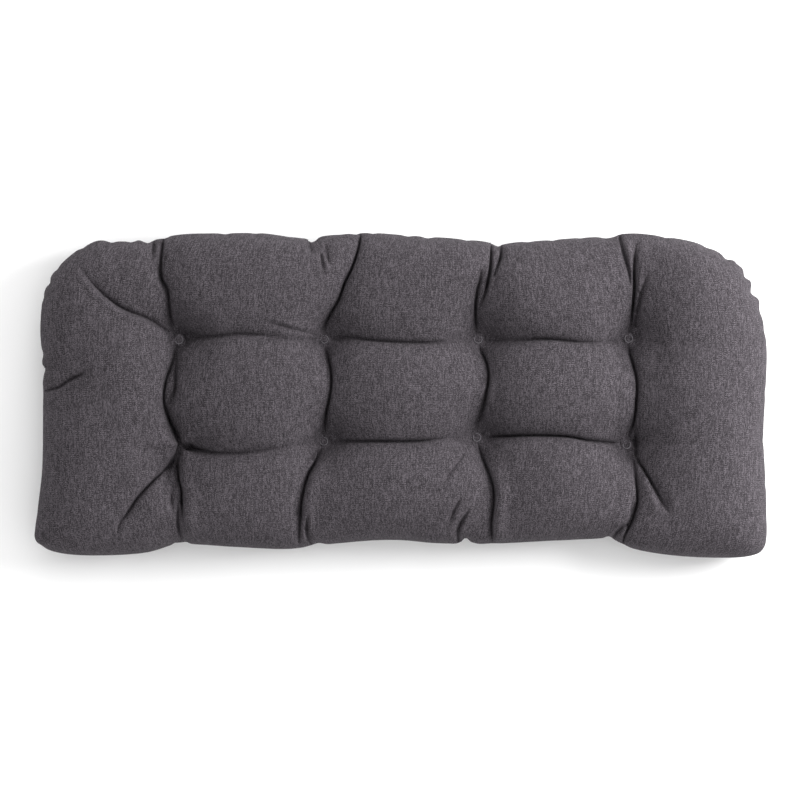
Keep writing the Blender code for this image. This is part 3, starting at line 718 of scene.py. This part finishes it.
under_plan = make_plan(UNDER_CREASES, [], UNDER_STEP, UNDER_EDGE_ROWS, UNDER_CREASE_ROWS, ())
under_at, under_held, under_triangles = triangulate(under_plan)
under_drop, under_open = shape_of(under_at, under_triangles, under_held, UNDER_VALLEY, UNDER_CROWN)
under_loose = np.sqrt(under_open) * (1 - near_tufts(under_at, 0.030))
under_drop += under_loose * (0.0014 * unevenness(under_at, 0.060, 21.7))

# a drop below the seat is eased flat
over = np.clip(under_drop - (SEAM_HEIGHT - PRESSED), 0, 2 * PRESSED)
pressed = SEAM_HEIGHT - PRESSED + over - over**2 / (4 * PRESSED)
under_drop = np.where(over > 0, pressed, under_drop)
under_tuft = from_tufts(under_at) < TUFT_FLAT + 0.0001
under_drop[under_tuft] = TUFT_RISE
under_drop[: len(edge)] = 0
print(len(under_at), "points under the cushion")

# %% [markdown]
# ## One skin
#
# The two halves become one list of points, with the edge line only once, and one mesh. `from_pydata`
# takes the points and the triangles as they are. The faces are shaded smooth, because cloth has no
# facets.

# %% Make the cover
count = len(edge)
skin_points = np.vstack(
    [
        np.column_stack([face_at, SEAM_HEIGHT + face_rise]),
        np.column_stack([under_at, SEAM_HEIGHT - under_drop])[count:],
    ]
)
joined = np.concatenate([np.arange(count), np.arange(len(under_at) - count) + len(face_at)])
skin_triangles = np.vstack([face_triangles, joined[under_triangles][:, ::-1]])


def mesh_object(name, points, faces):
    """A new smooth-shaded object in the scene, made of these points and faces."""
    mesh = bpy.data.meshes.new(name)
    mesh.from_pydata([tuple(point) for point in points], [], [tuple(face) for face in faces])
    mesh.shade_smooth()
    made = bpy.data.objects.new(name, mesh)
    bpy.context.scene.collection.objects.link(made)
    return made


cover = mesh_object("cushion_cover", skin_points.tolist(), skin_triangles.tolist())
print(cover.name, "has", len(skin_points), "points and", len(skin_triangles), "triangles")

# %% [markdown]
# ## Let the cloth settle
#
# So far the shape is a formula, and it looks a little too calm. Blender's cloth solver gives it the
# tension of a real cover. We pin the tufts and the places that rest on the seat, and less hard the seam
# and the creases. Then we blow it up gently from inside, and let the cloth grow by a few hundredths
# near the sewn edge, as gathered cloth does. Gravity is off, because the stuffing carries the cover.

# %% How the cloth is settled
SETTLE_FRAMES = 14


def pin_group(piece, name, values):
    """A vertex group with these values, in steps of a hundredth."""
    group = piece.vertex_groups.new(name=name)
    for level in np.unique(values.round(2)):
        if level > 0:
            group.add(np.where(values.round(2) == level)[0].tolist(), float(level), "REPLACE")


def settle(piece, pins, growth, pressure):
    """Runs Blender's cloth solver on the piece, and gives the places where its points come to rest."""
    pin_group(piece, "pinned", pins)
    pin_group(piece, "grown", growth)
    cloth = piece.modifiers.new("settling", "CLOTH")
    cloth.settings.quality = 4
    cloth.settings.mass = 0.3
    cloth.settings.tension_stiffness = 12
    cloth.settings.compression_stiffness = 12
    cloth.settings.shear_stiffness = 4
    cloth.settings.bending_stiffness = 0.4
    cloth.settings.vertex_group_mass = "pinned"
    cloth.settings.pin_stiffness = 1.0
    cloth.settings.use_pressure = True
    cloth.settings.uniform_pressure_force = pressure
    cloth.settings.vertex_group_shrink = "grown"
    cloth.settings.shrink_min = 0.0
    cloth.settings.shrink_max = -0.10
    cloth.settings.effector_weights.gravity = 0
    cloth.collision_settings.use_collision = False
    cloth.point_cache.frame_start = 1
    cloth.point_cache.frame_end = SETTLE_FRAMES
    for moment in range(1, SETTLE_FRAMES + 1):
        bpy.context.scene.frame_set(moment)
    settled = piece.evaluated_get(bpy.context.evaluated_depsgraph_get()).to_mesh()
    after = np.empty(len(settled.vertices) * 3, np.float32)
    settled.vertices.foreach_get("co", after)
    piece.modifiers.remove(cloth)
    piece.vertex_groups.clear()
    bpy.context.scene.frame_set(1)
    return after.reshape(-1, 3).astype(float)


print("the cloth gets", SETTLE_FRAMES, "frames to settle")

# %% [markdown]
# The solver is run once, and its result is kept as plain points. A cap on how far a point may move
# keeps the cushion's size, whatever the solver does. The hyperbolic tangent is a soft cap: small moves
# pass unchanged, and large ones come ever closer to the limit.

# %% Settle the cover
LONGEST_MOVE = 0.008

pins = np.zeros(len(skin_points))
pins[: len(face_at)] = 0.55 * face_held
pins[:count] = 0.6
pins[: len(face_at)][face_tuft] = 1
under_pins = 0.6 * under_held
under_pins[under_drop > SEAM_HEIGHT - 0.0005] = 1
under_pins[under_tuft] = 1
pins[len(face_at) :] = under_pins[count:]

heights = np.concatenate([face_rise, under_drop[count:]])
away_from_front = np.clip((skin_points[:, 1] - edge[:, 1].min() - 0.03) / 0.05, 0, 1)
growth = np.clip(0.15 + 0.85 * np.exp(-heights / 0.02) * away_from_front, 0, 1)
growth[pins > 0.9] = 0

if FINE:
    move = settle(cover, pins, growth, 4.0) - skin_points
    length = np.linalg.norm(move, axis=1, keepdims=True)
    print("the cloth moved", round(1000 * float(length.mean()), 2), "mm on the average and",
          round(1000 * float(length.max()), 2), "mm at most")
    move *= LONGEST_MOVE * np.tanh(length / LONGEST_MOVE) / np.maximum(length, 1e-9)
    skin_points = skin_points + move

# %% [markdown]
# ## Fold, roll and close
#
# Now the small forms, which the solver would blow flat again. For each fold or ridge we need to know
# three things at every point near it: how far away its line is, which share of the way along it lies,
# and on which side. A fold presses the cloth in and a ridge lifts it.
#
# Closing a crease is different: it moves the cloth sideways. Points beside the crease slide towards it,
# the nearest ones most, so the two pads lean together and only a slit stays open. The slit also gets up
# to 15 mm more depth. Near a tuft the closing fades, because the stitches hold the cloth apart.

# %% Folds, ridges and closed creases
SLIT_DEPTH = 0.0150
SLIT_WIDTH = 0.0026
FOLD_SLIT = 0.0018
CLOSING = 0.45
CLOSING_REACH = 0.0085


def near_line(way, places, reach):
    """The points near a line: which they are, their distance, share of the way, side and offset."""
    line, _ = smooth(places_of(way), 0.004)
    low, high = line.min(0) - reach, line.max(0) + reach
    chosen = np.where(((places > low) & (places < high)).all(axis=1))[0]
    near = places[chosen]
    best = np.full(len(near), 1e9)
    share, side = np.zeros(len(near)), np.zeros(len(near))
    offset = np.zeros((len(near), 2))
    for i, (a, b) in enumerate(zip(line[:-1], line[1:])):
        run = b - a
        t = np.clip(((near - a) @ run) / (run @ run), 0, 1)
        apart = near - a - t[:, None] * run
        away = np.linalg.norm(apart, axis=1)
        closer = away < best
        best[closer] = away[closer]
        share[closer] = (i + t[closer]) / (len(line) - 1)
        side[closer] = np.sign(run[0] * apart[closer, 1] - run[1] * apart[closer, 0])
        offset[closer] = apart[closer]
    return chosen, best, share, side, offset


def along(share, values):
    """The value at each share of the way, between values given at even steps."""
    return np.interp(share, np.linspace(0, 1, len(values)), values)


def small_forms(places):
    """How far the small folds, hollows and ridges lift the cloth, in metres."""
    lift = np.zeros(len(places))
    sharp, soft = (0.8, 0.5), (0.0, 1.0)  # how much of the depth is slit, and how much is slope
    for table, (slit, slope) in ((SMALL_FOLDS, sharp), (HOLLOWS, soft)):
        for way, depths, left, right in table:
            chosen, away, share, side, _ = near_line(way, places, 0.003 * max(left, right))
            width = np.where(side > 0, left, right) / 1000
            form = slope * np.exp(-away / width) + slit * np.exp(-((away / FOLD_SLIT) ** 2))
            lift[chosen] -= along(share, depths) / 1000 * form
    for way, heights, half_width in RIDGES:
        chosen, away, share, _, _ = near_line(way, places, 0.003 * half_width)
        lift[chosen] += along(share, heights) / 1000 * np.exp(-((away / (0.001 * half_width)) ** 2))
    return lift


def close_creases(places):
    """How far each point slides sideways, and how far the slit presses it in, in metres."""
    slide, press = np.zeros((len(places), 2)), np.zeros(len(places))
    slack, free = 1 - near_tufts(places, 0.014), 1 - near_tufts(places, 0.009)
    for way, _, closed in CREASES:
        chosen, away, share, _, offset = near_line(way, places, 0.020)
        tight = along(share, closed)
        shift = CLOSING * tight * slack[chosen] * np.exp(-((away / CLOSING_REACH) ** 2))
        slide[chosen] -= offset * shift[:, None]
        slit = SLIT_DEPTH * tight * free[chosen] * np.exp(-((away / SLIT_WIDTH) ** 2))
        press[chosen] = np.maximum(press[chosen], slit)
    return slide, press


face_height = skin_points[: len(face_at), 2] - SEAM_HEIGHT
face_forms = small_forms(face_at)
face_slide, face_press = close_creases(face_at)
skin_points[: len(face_at), 2] += (face_forms - face_press) * np.clip(face_height / 0.02, 0, 1)
skin_points[: len(face_at), :2] += face_slide
print("folds and ridges reach from", round(1000 * face_forms.min(), 1), "to",
      round(1000 * face_forms.max(), 1), "mm")

# %% [markdown]
# ## Puckers along the sewn edge
#
# Each scallop goes on into the cloth as a short pucker. We run a wave along the edge, let its length
# wander, and fade it out over a few centimetres. It is strongest round the back corners and absent
# along the folded front.

# %% Pucker the edge
PUCKER_LENGTH = 0.017
PUCKER_HEIGHT = 0.0011
PUCKER_FADE = 0.013


def nearest_edge(places, reach):
    """The points within reach of the edge, the edge point nearest to each, and how far it is."""
    chosen, nearest, away = [], [], []
    for start in range(0, len(places), 2000):
        apart = np.linalg.norm(places[start : start + 2000, None] - edge[None], axis=2)
        closest = apart.argmin(1)
        distance = apart[np.arange(len(closest)), closest]
        near = np.where(distance < reach)[0]
        chosen.append(near + start)
        nearest.append(closest[near])
        away.append(distance[near])
    return np.concatenate(chosen), np.concatenate(nearest), np.concatenate(away)


def edge_wave():
    """How high the pucker stands at each point of the edge, between about -1 and 1."""
    step = np.linalg.norm(np.roll(edge, -1, 0) - edge, axis=1)
    length = np.concatenate([[0], np.cumsum(step)[:-1]])
    wander = np.array([noise.noise(Vector((s / 0.045, 0.5, 12.3))) for s in length])
    strength = np.array([0.75 + 0.9 * noise.noise(Vector((s / 0.06, 0.5, 40.9))) for s in length])
    corner = np.exp(-(((abs(edge[:, 0]) - 0.50) / 0.09) ** 2)) * np.clip((edge[:, 1] - 0.05) / 0.08, 0, 1)
    sewn = np.clip((edge[:, 1] - edge[:, 1].min() - 0.03) / 0.05, 0, 1)
    return np.sin(math.tau * (length / PUCKER_LENGTH + 0.9 * wander)) * strength * sewn * (0.5 + corner)


wave = edge_wave()
halves = ((slice(0, len(face_at)), face_at, 1), (slice(len(face_at), None), under_at[count:], -1))
for part, plan_places, facing in halves:
    chosen, nearest, away = nearest_edge(plan_places, 3 * PUCKER_FADE)
    lift = PUCKER_HEIGHT * wave[nearest] * np.exp(-((away / PUCKER_FADE) ** 2)) * np.clip(away / 0.003, 0, 1)
    skin_points[np.arange(len(skin_points))[part][chosen], 2] += facing * lift
print("puckers up to", round(1000 * PUCKER_HEIGHT * float(abs(wave).max()), 1), "mm")

# %% [markdown]
# ## The seats of the tufts
#
# Inside its ring of stitches a tuft is a small round pillow, and the thread itself sinks into the cloth
# a little. So the seat is not flat: it domes up in the middle and has a groove where the stitches lie.
# Over the buried tuft the pads lean inwards, so from above one sees a dark pit with a narrow mouth. The
# tuft behind it has a little of the same. Points that stand higher lean further, and the mouth lies a
# few millimetres off the tuft, so the pad on one side covers it more than the pad on the other.

# %% Shape the tufts
TACK_RADIUS = 0.0058
PITS = [  # tuft, how far the pads lean over it, and how far right and back of it the mouth lies
    (BURIED, 0.0170, 0.001, 0.009),
    ("back_1", 0.0070, 0.001, -0.005),
]


def tuft_relief(away):
    """The height over the tuft's level at a distance from its middle."""
    dome = 0.0011 * np.maximum(1 - (away / 0.0052) ** 2, 0)
    groove = -0.0002 * np.exp(-(((away - TACK_RADIUS) / 0.0008) ** 2))
    return dome + groove


for name, furthest, right, back in PITS:
    apart = skin_points[: len(face_at), :2] - tufts[name] - (right, back)
    away = np.linalg.norm(apart, axis=1)
    above = np.clip((skin_points[: len(face_at), 2] - SEAM_HEIGHT - TUFT_RISE - 0.003) / 0.010, 0, 1)
    lean = furthest * above * np.exp(-(((away - 0.016) / 0.014) ** 2)) / np.maximum(away, 0.001)
    skin_points[: len(face_at), :2] -= apart * np.minimum(lean, 0.7)[:, None]

for part, plan_places, facing in halves:
    away = from_tufts(plan_places)
    seat = np.where(away < TUFT_FLAT + 0.0001)[0]
    index = np.arange(len(skin_points))[part][seat]
    skin_points[index, 2] = SEAM_HEIGHT + facing * (TUFT_RISE + tuft_relief(away[seat]))
print(len(seat), "points on the tufts underneath")

# %% [markdown]
# ## The seam
#
# The sewn edge is stitched inside out and turned, so no stitches show, but the seam itself does: it
# sinks between the two lips of the cloth. We push the lips out past the seam by about a millimetre. The
# front edge is one folded cloth and keeps its plain round turn.
#
# That was the last change to the cover's shape. So here it is hung on the cushion's body, and the solid
# cushion that it stands in for is hidden.

# %% Sink the seam between its lips
LIP = 0.0016
LIP_HEIGHT = 0.0034

outward = np.zeros((len(skin_points), 2))
chosen, nearest, away = nearest_edge(skin_points[:, :2], 0.036)
outward[chosen] = -inward[nearest] * np.exp(-((away / 0.012) ** 2))[:, None]
height = abs(skin_points[:, 2] - SEAM_HEIGHT) / LIP_HEIGHT
bulge = LIP * height * np.exp(1 - height)
skin_points[:, :2] += outward * (bulge * away_from_front)[:, None]
skin_points[:, 2] = np.maximum(skin_points[:, 2], 0)
cover.data.vertices.foreach_set("co", skin_points.astype(np.float32).ravel())
cover.data.update()
print(len(chosen), "points near the seam")

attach(cover, "root")
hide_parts("cushion")

# %% [markdown]
# ## The circle tacks
#
# Each tuft is sewn with a circle of thick thread. A plain torus would look like a rubber ring. A real
# circle tack is a run of short stitches, each starting beside the last one's end and slanting outwards,
# so the ring looks like a laid rope. One stitch is a short tube with pointed ends, bent along a path.

# %% A stitch
STITCHES = 13
STITCH_REACH = 1.5
THREAD_RADIUS = 0.00055


def stitch_tube(path, radius, sides=6):
    """A tube along the path with pointed ends, as points and faces."""
    points, faces = [], []
    for i, place in enumerate(path):
        ahead = path[min(i + 1, len(path) - 1)] - path[max(i - 1, 0)]
        ahead = ahead / np.linalg.norm(ahead)
        across = np.cross(ahead, (0, 0, 1))
        across = across / np.linalg.norm(across)
        up = np.cross(across, ahead)
        thick = radius * math.sin(math.pi * (0.12 + 0.76 * i / (len(path) - 1))) ** 0.5
        for k in range(sides):
            turn = math.tau * k / sides
            points.append(place + thick * (math.cos(turn) * across + math.sin(turn) * up))
    for i in range(len(path) - 1):
        for k in range(sides):
            a, b = i * sides + k, i * sides + (k + 1) % sides
            faces.append((a, b, b + sides, a + sides))
    faces.append(tuple(reversed(range(sides))))
    faces.append(tuple(range((len(path) - 1) * sides, len(path) * sides)))
    return points, faces


stitch_length = STITCH_REACH * math.tau * TACK_RADIUS / STITCHES
print("a stitch is", round(1000 * stitch_length, 1), "mm long and", 2000 * THREAD_RADIUS, "mm thick")

# %% [markdown]
# Now we lay the stitches round each circle. Each reaches half way over the next one's start. They are
# not all alike: some are drawn tighter and sink into the cloth, most of all towards the back, so
# from above the ring is broken. The tacks of the two pits are drawn in as a whole, by a few times the
# thread's radius. The underside has the same tacks, upside down.

# %% Sew the tacks
DRAWN_IN = {BURIED: 4.0, "back_1": 1.2}


def sew_tack(name, centre, facing, drawn_in):
    """A circle tack. Facing is 1 on the face of the cushion and -1 on its underside."""
    points, faces = [], []
    share = np.linspace(0, 1, 7)
    for n in range(STITCHES):
        turn = (n - 0.08 + STITCH_REACH * share) * math.tau / STITCHES
        radius = TACK_RADIUS - 0.0003 + 0.0006 * share
        sunk = 2.8 * noise.noise(Vector((1.3 * n, centre[0] * 40, centre[1] * 40))) - 0.9 - drawn_in
        arch = 1.5 * np.sin(math.pi * share) - 1.7 * np.sin(turn - 0.3)
        lift = THREAD_RADIUS * (arch + sunk) * facing
        path = np.column_stack([radius * np.cos(turn), radius * np.sin(turn), lift]) + centre
        tube, sides = stitch_tube(path, THREAD_RADIUS)
        faces += [tuple(index + len(points) for index in side) for side in sides]
        points += tube
    return mesh_object(name, points, faces)


tacks = []
for name, tuft in tufts.items():
    for prefix, facing in (("tack_", 1), ("tack_under_", -1)):
        centre = np.array([tuft[0], tuft[1], SEAM_HEIGHT + facing * TUFT_RISE])
        tack = sew_tack(f"stitched_{prefix}{name}", centre, facing, DRAWN_IN.get(name, 0.0))
        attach(tack, "root")
        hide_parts(prefix + name)
        tacks.append(tack)
print("sewed", len(tacks), "tacks of", STITCHES, "stitches")

# %% [markdown]
# ## Lay the flat cloth on the cover
#
# The weave has to follow the cloth: its threads run straight on the flat cloth before it is sewn. So
# each point of the cover needs its place on the flat cloth. Looking straight down gives a fair first
# answer, but it crowds the threads on the steep sides. Blender's unwrap can do better: with the seam
# marked as cut, it flattens each half. Of its methods, the conformal one keeps angles but lets the
# threads grow to twice their size on a pad. The minimum stretch one is slower, and keeps their size to
# within a few per cent, so we use that.

# %% Flatten the cover
bpy.context.view_layer.objects.active = cover
bpy.ops.object.select_all(action="DESELECT")
cover.select_set(True)
layer_name = "flat_cloth"
cover.data.uv_layers.new(name=layer_name)
for cut in cover.data.edges:
    a, b = cut.vertices
    cut.use_seam = a < count and b < count and abs(a - b) in (1, count - 1)
bpy.ops.object.mode_set(mode="EDIT")
bpy.ops.mesh.select_all(action="SELECT")
bpy.ops.uv.unwrap(method="MINIMUM_STRETCH", margin=0.0, iterations=3)
bpy.ops.object.mode_set(mode="OBJECT")

loop_points = np.empty(len(cover.data.loops), np.int32)
cover.data.loops.foreach_get("vertex_index", loop_points)
flat = np.empty(len(loop_points) * 2, np.float32)
cover.data.uv_layers[layer_name].uv.foreach_get("vector", flat)
flat = flat.reshape(-1, 2).astype(float)
print("the unwrap spans", flat.min(0).round(3), "to", flat.max(0).round(3))

# %% [markdown]
# The unwrap packs both halves into a unit square, turned and scaled as it likes. We want metres, with
# the threads running along and across the cushion. For each half we find the turn and the scale that
# bring its flat places nearest to the same points seen from above. That is the Procrustes problem, and
# one singular value decomposition solves it.

# %% Turn and scale the flat cloth to metres
def to_metres(flat_part, seen_part, solid_area, flat_area):
    """The flat places turned to match the places seen, and scaled to the cloth's real area."""
    middle, target = flat_part.mean(0), seen_part.mean(0)
    left, _, right = np.linalg.svd((flat_part - middle).T @ (seen_part - target))
    return (flat_part - middle) @ (left @ right) * math.sqrt(solid_area / flat_area) + target


def area_of(points, triangles):
    """The area of the triangles, whether their points are flat or in space."""
    a, b, c = (points[triangles[:, k]] for k in range(3))
    to_b, to_c = b - a, c - a
    if points.shape[1] == 2:
        return 0.5 * abs(to_b[:, 0] * to_c[:, 1] - to_b[:, 1] * to_c[:, 0]).sum()
    return 0.5 * np.linalg.norm(np.cross(to_b, to_c), axis=1).sum()


triangle_loops = np.arange(len(loop_points)).reshape(-1, 3)
for half in (slice(0, len(face_triangles)), slice(len(face_triangles), None)):
    loops = triangle_loops[half].ravel()
    seen = skin_points[loop_points[loops]]
    order = np.arange(len(loops)).reshape(-1, 3)
    flat[loops] = to_metres(flat[loops], seen[:, :2], area_of(seen, order), area_of(flat[loops], order))
cover.data.uv_layers[layer_name].uv.foreach_set("vector", flat.astype(np.float32).ravel())
print("the flat cloth spans", flat.min(0).round(3), "to", flat.max(0).round(3), "m")

# %% [markdown]
# ## The flecked cloth
#
# The cloth is a plain weave of heathered yarn: each thread mixes dark and pale fibres, so its colour
# changes every few millimetres along its length. From a step away that reads as fine streaks along the
# threads, stronger one way than the other. An even noise would look like felt. So we build the weave as
# it is woven. Dividing the flat cloth's places by the thread pitch numbers the threads each way, an odd
# or even sum of the two numbers says which thread lies on top, and each thread takes its own noise.
#
# A few helpers keep the node tree readable.

# %% Helpers for node trees
class Nodes:
    """A material's node tree, with one short call for each kind of node."""

    def __init__(self, name):
        self.material = bpy.data.materials.new(name)
        self.material.use_nodes = True
        self.tree = self.material.node_tree
        self.shader = self.tree.nodes["Principled BSDF"]

    def add(self, kind, **settings):
        node = self.tree.nodes.new(kind)
        for name, value in settings.items():
            setattr(node, name, value)
        return node

    def feed(self, socket, value):
        if isinstance(value, bpy.types.NodeSocket):
            self.tree.links.new(value, socket)
        else:
            socket.default_value = value

    def math(self, operation, *values):
        node = self.add("ShaderNodeMath", operation=operation)
        for socket, value in zip(node.inputs, values):
            self.feed(socket, value)
        return node.outputs[0]

    def pair(self, x, y):
        node = self.add("ShaderNodeCombineXYZ")
        self.feed(node.inputs[0], x)
        self.feed(node.inputs[1], y)
        return node.outputs[0]

    def noise(self, vector, scale, detail=0.0):
        node = self.add("ShaderNodeTexNoise", noise_dimensions="2D")
        self.feed(node.inputs["Vector"], vector)
        self.feed(node.inputs["Scale"], scale)
        self.feed(node.inputs["Detail"], detail)
        return node.outputs["Fac"]

    def ramp(self, value, stops):
        node = self.add("ShaderNodeValToRGB")
        self.feed(node.inputs[0], value)
        while len(node.color_ramp.elements) < len(stops):
            node.color_ramp.elements.new(0.5)
        for element, (place, colour) in zip(node.color_ramp.elements, stops):
            element.position = place
            element.color = (*colour, 1)
        return node.outputs[0]


cloth = Nodes("flecked_cloth")
print(cloth.material.name, "starts with", len(cloth.tree.nodes), "nodes")

# %% [markdown]
# The threads along the cushion's depth lie a millimetre apart, and the rows across them one and a half.
# Two materials would need a mask between them; one material that knows which thread it is on doesn't.

# %% Number the threads
WARP_PITCH = 0.0010
WEFT_PITCH = 0.0015

places = cloth.add("ShaderNodeUVMap", uv_map=layer_name).outputs[0]
split = cloth.add("ShaderNodeSeparateXYZ")
cloth.feed(split.inputs[0], places)
across, lengthwise = split.outputs[0], split.outputs[1]
warp = cloth.math("DIVIDE", across, WARP_PITCH)
weft = cloth.math("DIVIDE", lengthwise, WEFT_PITCH)
warp_number, weft_number = cloth.math("FLOOR", warp), cloth.math("FLOOR", weft)
both = cloth.math("ABSOLUTE", cloth.math("ADD", warp_number, weft_number))
weft_on_top = cloth.math("GREATER_THAN", cloth.math("MODULO", both, 2.0), 0.5)
print("a thread every", 1000 * WARP_PITCH, "mm across and", 1000 * WEFT_PITCH, "mm along")

# %% [markdown]
# The yarn's own colours run from a near black to a pale lilac grey. Four things choose the shade, from
# the strongest to the weakest. Each thread has streaks of a centimetre or two, plainer in the warp than
# in the weft. Each crossing has a fleck of its own, where one or the other fibre happens to lie on top.
# Every second row is a little paler. And there is a slow drift over the whole cloth.

# %% Shade the yarn
STREAK = 0.0160
YARN = [
    (0.00, (0.010, 0.009, 0.010)),
    (0.35, (0.033, 0.029, 0.033)),
    (0.65, (0.073, 0.065, 0.073)),
    (1.00, (0.132, 0.118, 0.133)),
]

# each thread has a noise of its own: one coordinate jumps from thread to thread, the other runs along it
warp_jump, warp_run = cloth.math("MULTIPLY", warp_number, 7.37), cloth.math("DIVIDE", lengthwise, STREAK)
weft_jump, weft_run = cloth.math("MULTIPLY", weft_number, 5.91), cloth.math("DIVIDE", across, STREAK)
warp_streak = cloth.noise(cloth.pair(warp_jump, warp_run), 1.0, 1.0)
weft_streak = cloth.noise(cloth.pair(weft_run, weft_jump), 1.0, 1.0)
streak = cloth.add("ShaderNodeMix", data_type="FLOAT")
cloth.feed(streak.inputs[0], weft_on_top)
cloth.feed(streak.inputs[2], warp_streak)
cloth.feed(streak.inputs[3], cloth.math("MULTIPLY_ADD", weft_streak, 0.15, 0.425))
fleck = cloth.add("ShaderNodeTexWhiteNoise", noise_dimensions="2D")
cloth.feed(fleck.inputs["Vector"], cloth.pair(warp_number, weft_number))
paler_row = cloth.math("MODULO", cloth.math("ABSOLUTE", weft_number), 2.0)
drift = cloth.noise(places, 14.0, 2.0)

shade = cloth.math("MULTIPLY_ADD", streak.outputs[0], 1.25, -0.125)
for part, strength in ((fleck.outputs["Value"], 0.50), (paler_row, 0.08), (drift, 0.05)):
    shade = cloth.math("ADD", shade, cloth.math("MULTIPLY_ADD", part, strength, -strength / 2))
cloth.feed(cloth.shader.inputs["Base Color"], cloth.ramp(shade, YARN))
print("the yarn has", len(YARN), "shades and streaks of", 1000 * STREAK, "mm")

# %% [markdown]
# Each thread is also round, and a pale fibre stands a little higher than a dark one. That relief is a
# quarter of a millimetre deep, far finer than the mesh, so it is bump. The yarn is dull: hardly any
# gloss, and only a breath of sheen, which would otherwise make a bright rim round every pad.

# %% Round the threads
round_warp = cloth.math("SINE", cloth.math("MULTIPLY", cloth.math("FRACT", warp), math.pi))
round_weft = cloth.math("SINE", cloth.math("MULTIPLY", cloth.math("FRACT", weft), math.pi))
level = cloth.math("POWER", cloth.math("MULTIPLY", round_warp, round_weft), 0.6)
level = cloth.math("ADD", level, cloth.math("MULTIPLY", streak.outputs[0], 0.6))
bump = cloth.add("ShaderNodeBump")
bump.inputs["Strength"].default_value = 0.5
bump.inputs["Distance"].default_value = 0.00025
cloth.feed(bump.inputs["Height"], level)
cloth.feed(cloth.shader.inputs["Normal"], bump.outputs[0])
cloth.feed(cloth.shader.inputs["Roughness"], cloth.math("MULTIPLY_ADD", streak.outputs[0], 0.15, 0.83))
cloth.shader.inputs["Specular IOR Level"].default_value = 0.10
cloth.shader.inputs["Sheen Weight"].default_value = 0.02
cloth.shader.inputs["Sheen Roughness"].default_value = 0.45
cloth.shader.inputs["Sheen Tint"].default_value = (0.92, 0.90, 0.95, 1)
cover.data.materials.append(cloth.material)
print(cloth.material.name, "has", len(cloth.tree.nodes), "nodes")

# %% [markdown]
# ## The thread
#
# The tacks are sewn with a thick, two-ply polyester thread, paler than the cloth and a little shiny. Its
# twist is far too fine to model, so a wave across the thread gives the plies as bump, and as colour with
# painted shade: darker in the twist between the plies, paler on their tops.

# %% The thread of the tacks
def thread_material():
    """Two plies of thread, with shade painted dark into the twist and the tops pale."""
    made = Nodes("tack_thread")
    place = made.add("ShaderNodeTexCoord").outputs["Object"]
    plies = made.add("ShaderNodeTexWave", wave_type="BANDS", bands_direction="DIAGONAL")
    made.feed(plies.inputs["Vector"], place)
    plies.inputs["Scale"].default_value = 420.0
    plies.inputs["Distortion"].default_value = 1.5
    plies.inputs["Detail"].default_value = 1.0
    # painted shade: the same wave that makes the ply bump also darkens the colour in the twist
    colour = made.ramp(plies.outputs["Fac"], [(0.0, (0.08, 0.073, 0.084)), (1.0, (0.18, 0.168, 0.186))])
    made.feed(made.shader.inputs["Base Color"], colour)
    bump = made.add("ShaderNodeBump")
    bump.inputs["Strength"].default_value = 0.5
    bump.inputs["Distance"].default_value = 0.0001
    made.feed(bump.inputs["Height"], plies.outputs["Fac"])
    made.feed(made.shader.inputs["Normal"], bump.outputs[0])
    made.shader.inputs["Roughness"].default_value = 0.55
    made.shader.inputs["Sheen Weight"].default_value = 0.15
    return made.material


thread = thread_material()
for tack in tacks:
    tack.data.materials.append(thread)
print("thread on", len(tacks), "tacks")

# %% [markdown]
# ## Floor and light
#
# The cushion lies on a plain pale floor. A faint, slow speckle keeps it from looking like empty space.

# %% The floor
bpy.ops.mesh.primitive_plane_add(size=30, location=(0, 0, 0))
floor = bpy.context.object
floor.name = "pale_floor"
paint = Nodes("pale_paint")
speckle = paint.noise(paint.add("ShaderNodeTexCoord").outputs["Object"], 3.0, 3.0)
paint.feed(paint.shader.inputs["Base Color"], paint.ramp(speckle, [(0, (0.93,) * 3), (1, (0.96,) * 3)]))
paint.shader.inputs["Roughness"].default_value = 0.9
floor.data.materials.append(paint.material)
print("the floor is", round(floor.dimensions.x), "m wide")

# %% [markdown]
# One wide lamp stands beyond the right end, a little to the back, so the right side of each pad is
# bright, the left side falls into shade, and the whole cushion grows darker to the left. A weak lamp
# behind the back edge lifts the back corners, and a white room fills the shadows. Pale surroundings
# matter for dark cloth: they are what its edges and folds reflect.

# %% The light
world = bpy.data.worlds.new("soft_room")
bpy.context.scene.world = world
world.use_nodes = True
world.node_tree.nodes["Background"].inputs["Color"].default_value = (1, 1, 1, 1)
world.node_tree.nodes["Background"].inputs["Strength"].default_value = 1.0
LAMP_SIZE = 1.2


def soft_light(name, place, power):
    """A square lamp that is turned to the middle of the cushion."""
    lamp = bpy.data.lights.new(name, "AREA")
    lamp.shape = "SQUARE"
    lamp.size = LAMP_SIZE
    lamp.energy = power
    made = bpy.data.objects.new(name, lamp)
    made.location = place
    made.rotation_euler = (-Vector(place)).to_track_quat("-Z", "Y").to_euler()
    bpy.context.scene.collection.objects.link(made)


soft_light("wide_lamp", (2.2, 0.60, 1.2), 92)
soft_light("back_lamp", (-0.2, 2.1, 0.8), 15)
bpy.context.scene.view_settings.view_transform = "Standard"
print("two lamps and a white room")

# %% [markdown]
# ## The camera
#
# The camera looks straight down on the face, from far away through a long lens, so a pad's height
# doesn't push it outwards in the view.

# %% The camera
FRAME_WIDTH = 1.2235
DISTANCE = 12.0

camera_lens = bpy.data.cameras.new("camera")
camera = bpy.data.objects.new("camera", camera_lens)
bpy.context.scene.collection.objects.link(camera)
bpy.context.scene.camera = camera
camera_lens.sensor_width = 36
camera_lens.lens = camera_lens.sensor_width * DISTANCE / FRAME_WIDTH
camera.location = (-0.0006, -0.0079, SEAM_HEIGHT + DISTANCE)
camera.rotation_euler = (0, 0, 0)
print("a lens of", round(camera_lens.lens), "mm")
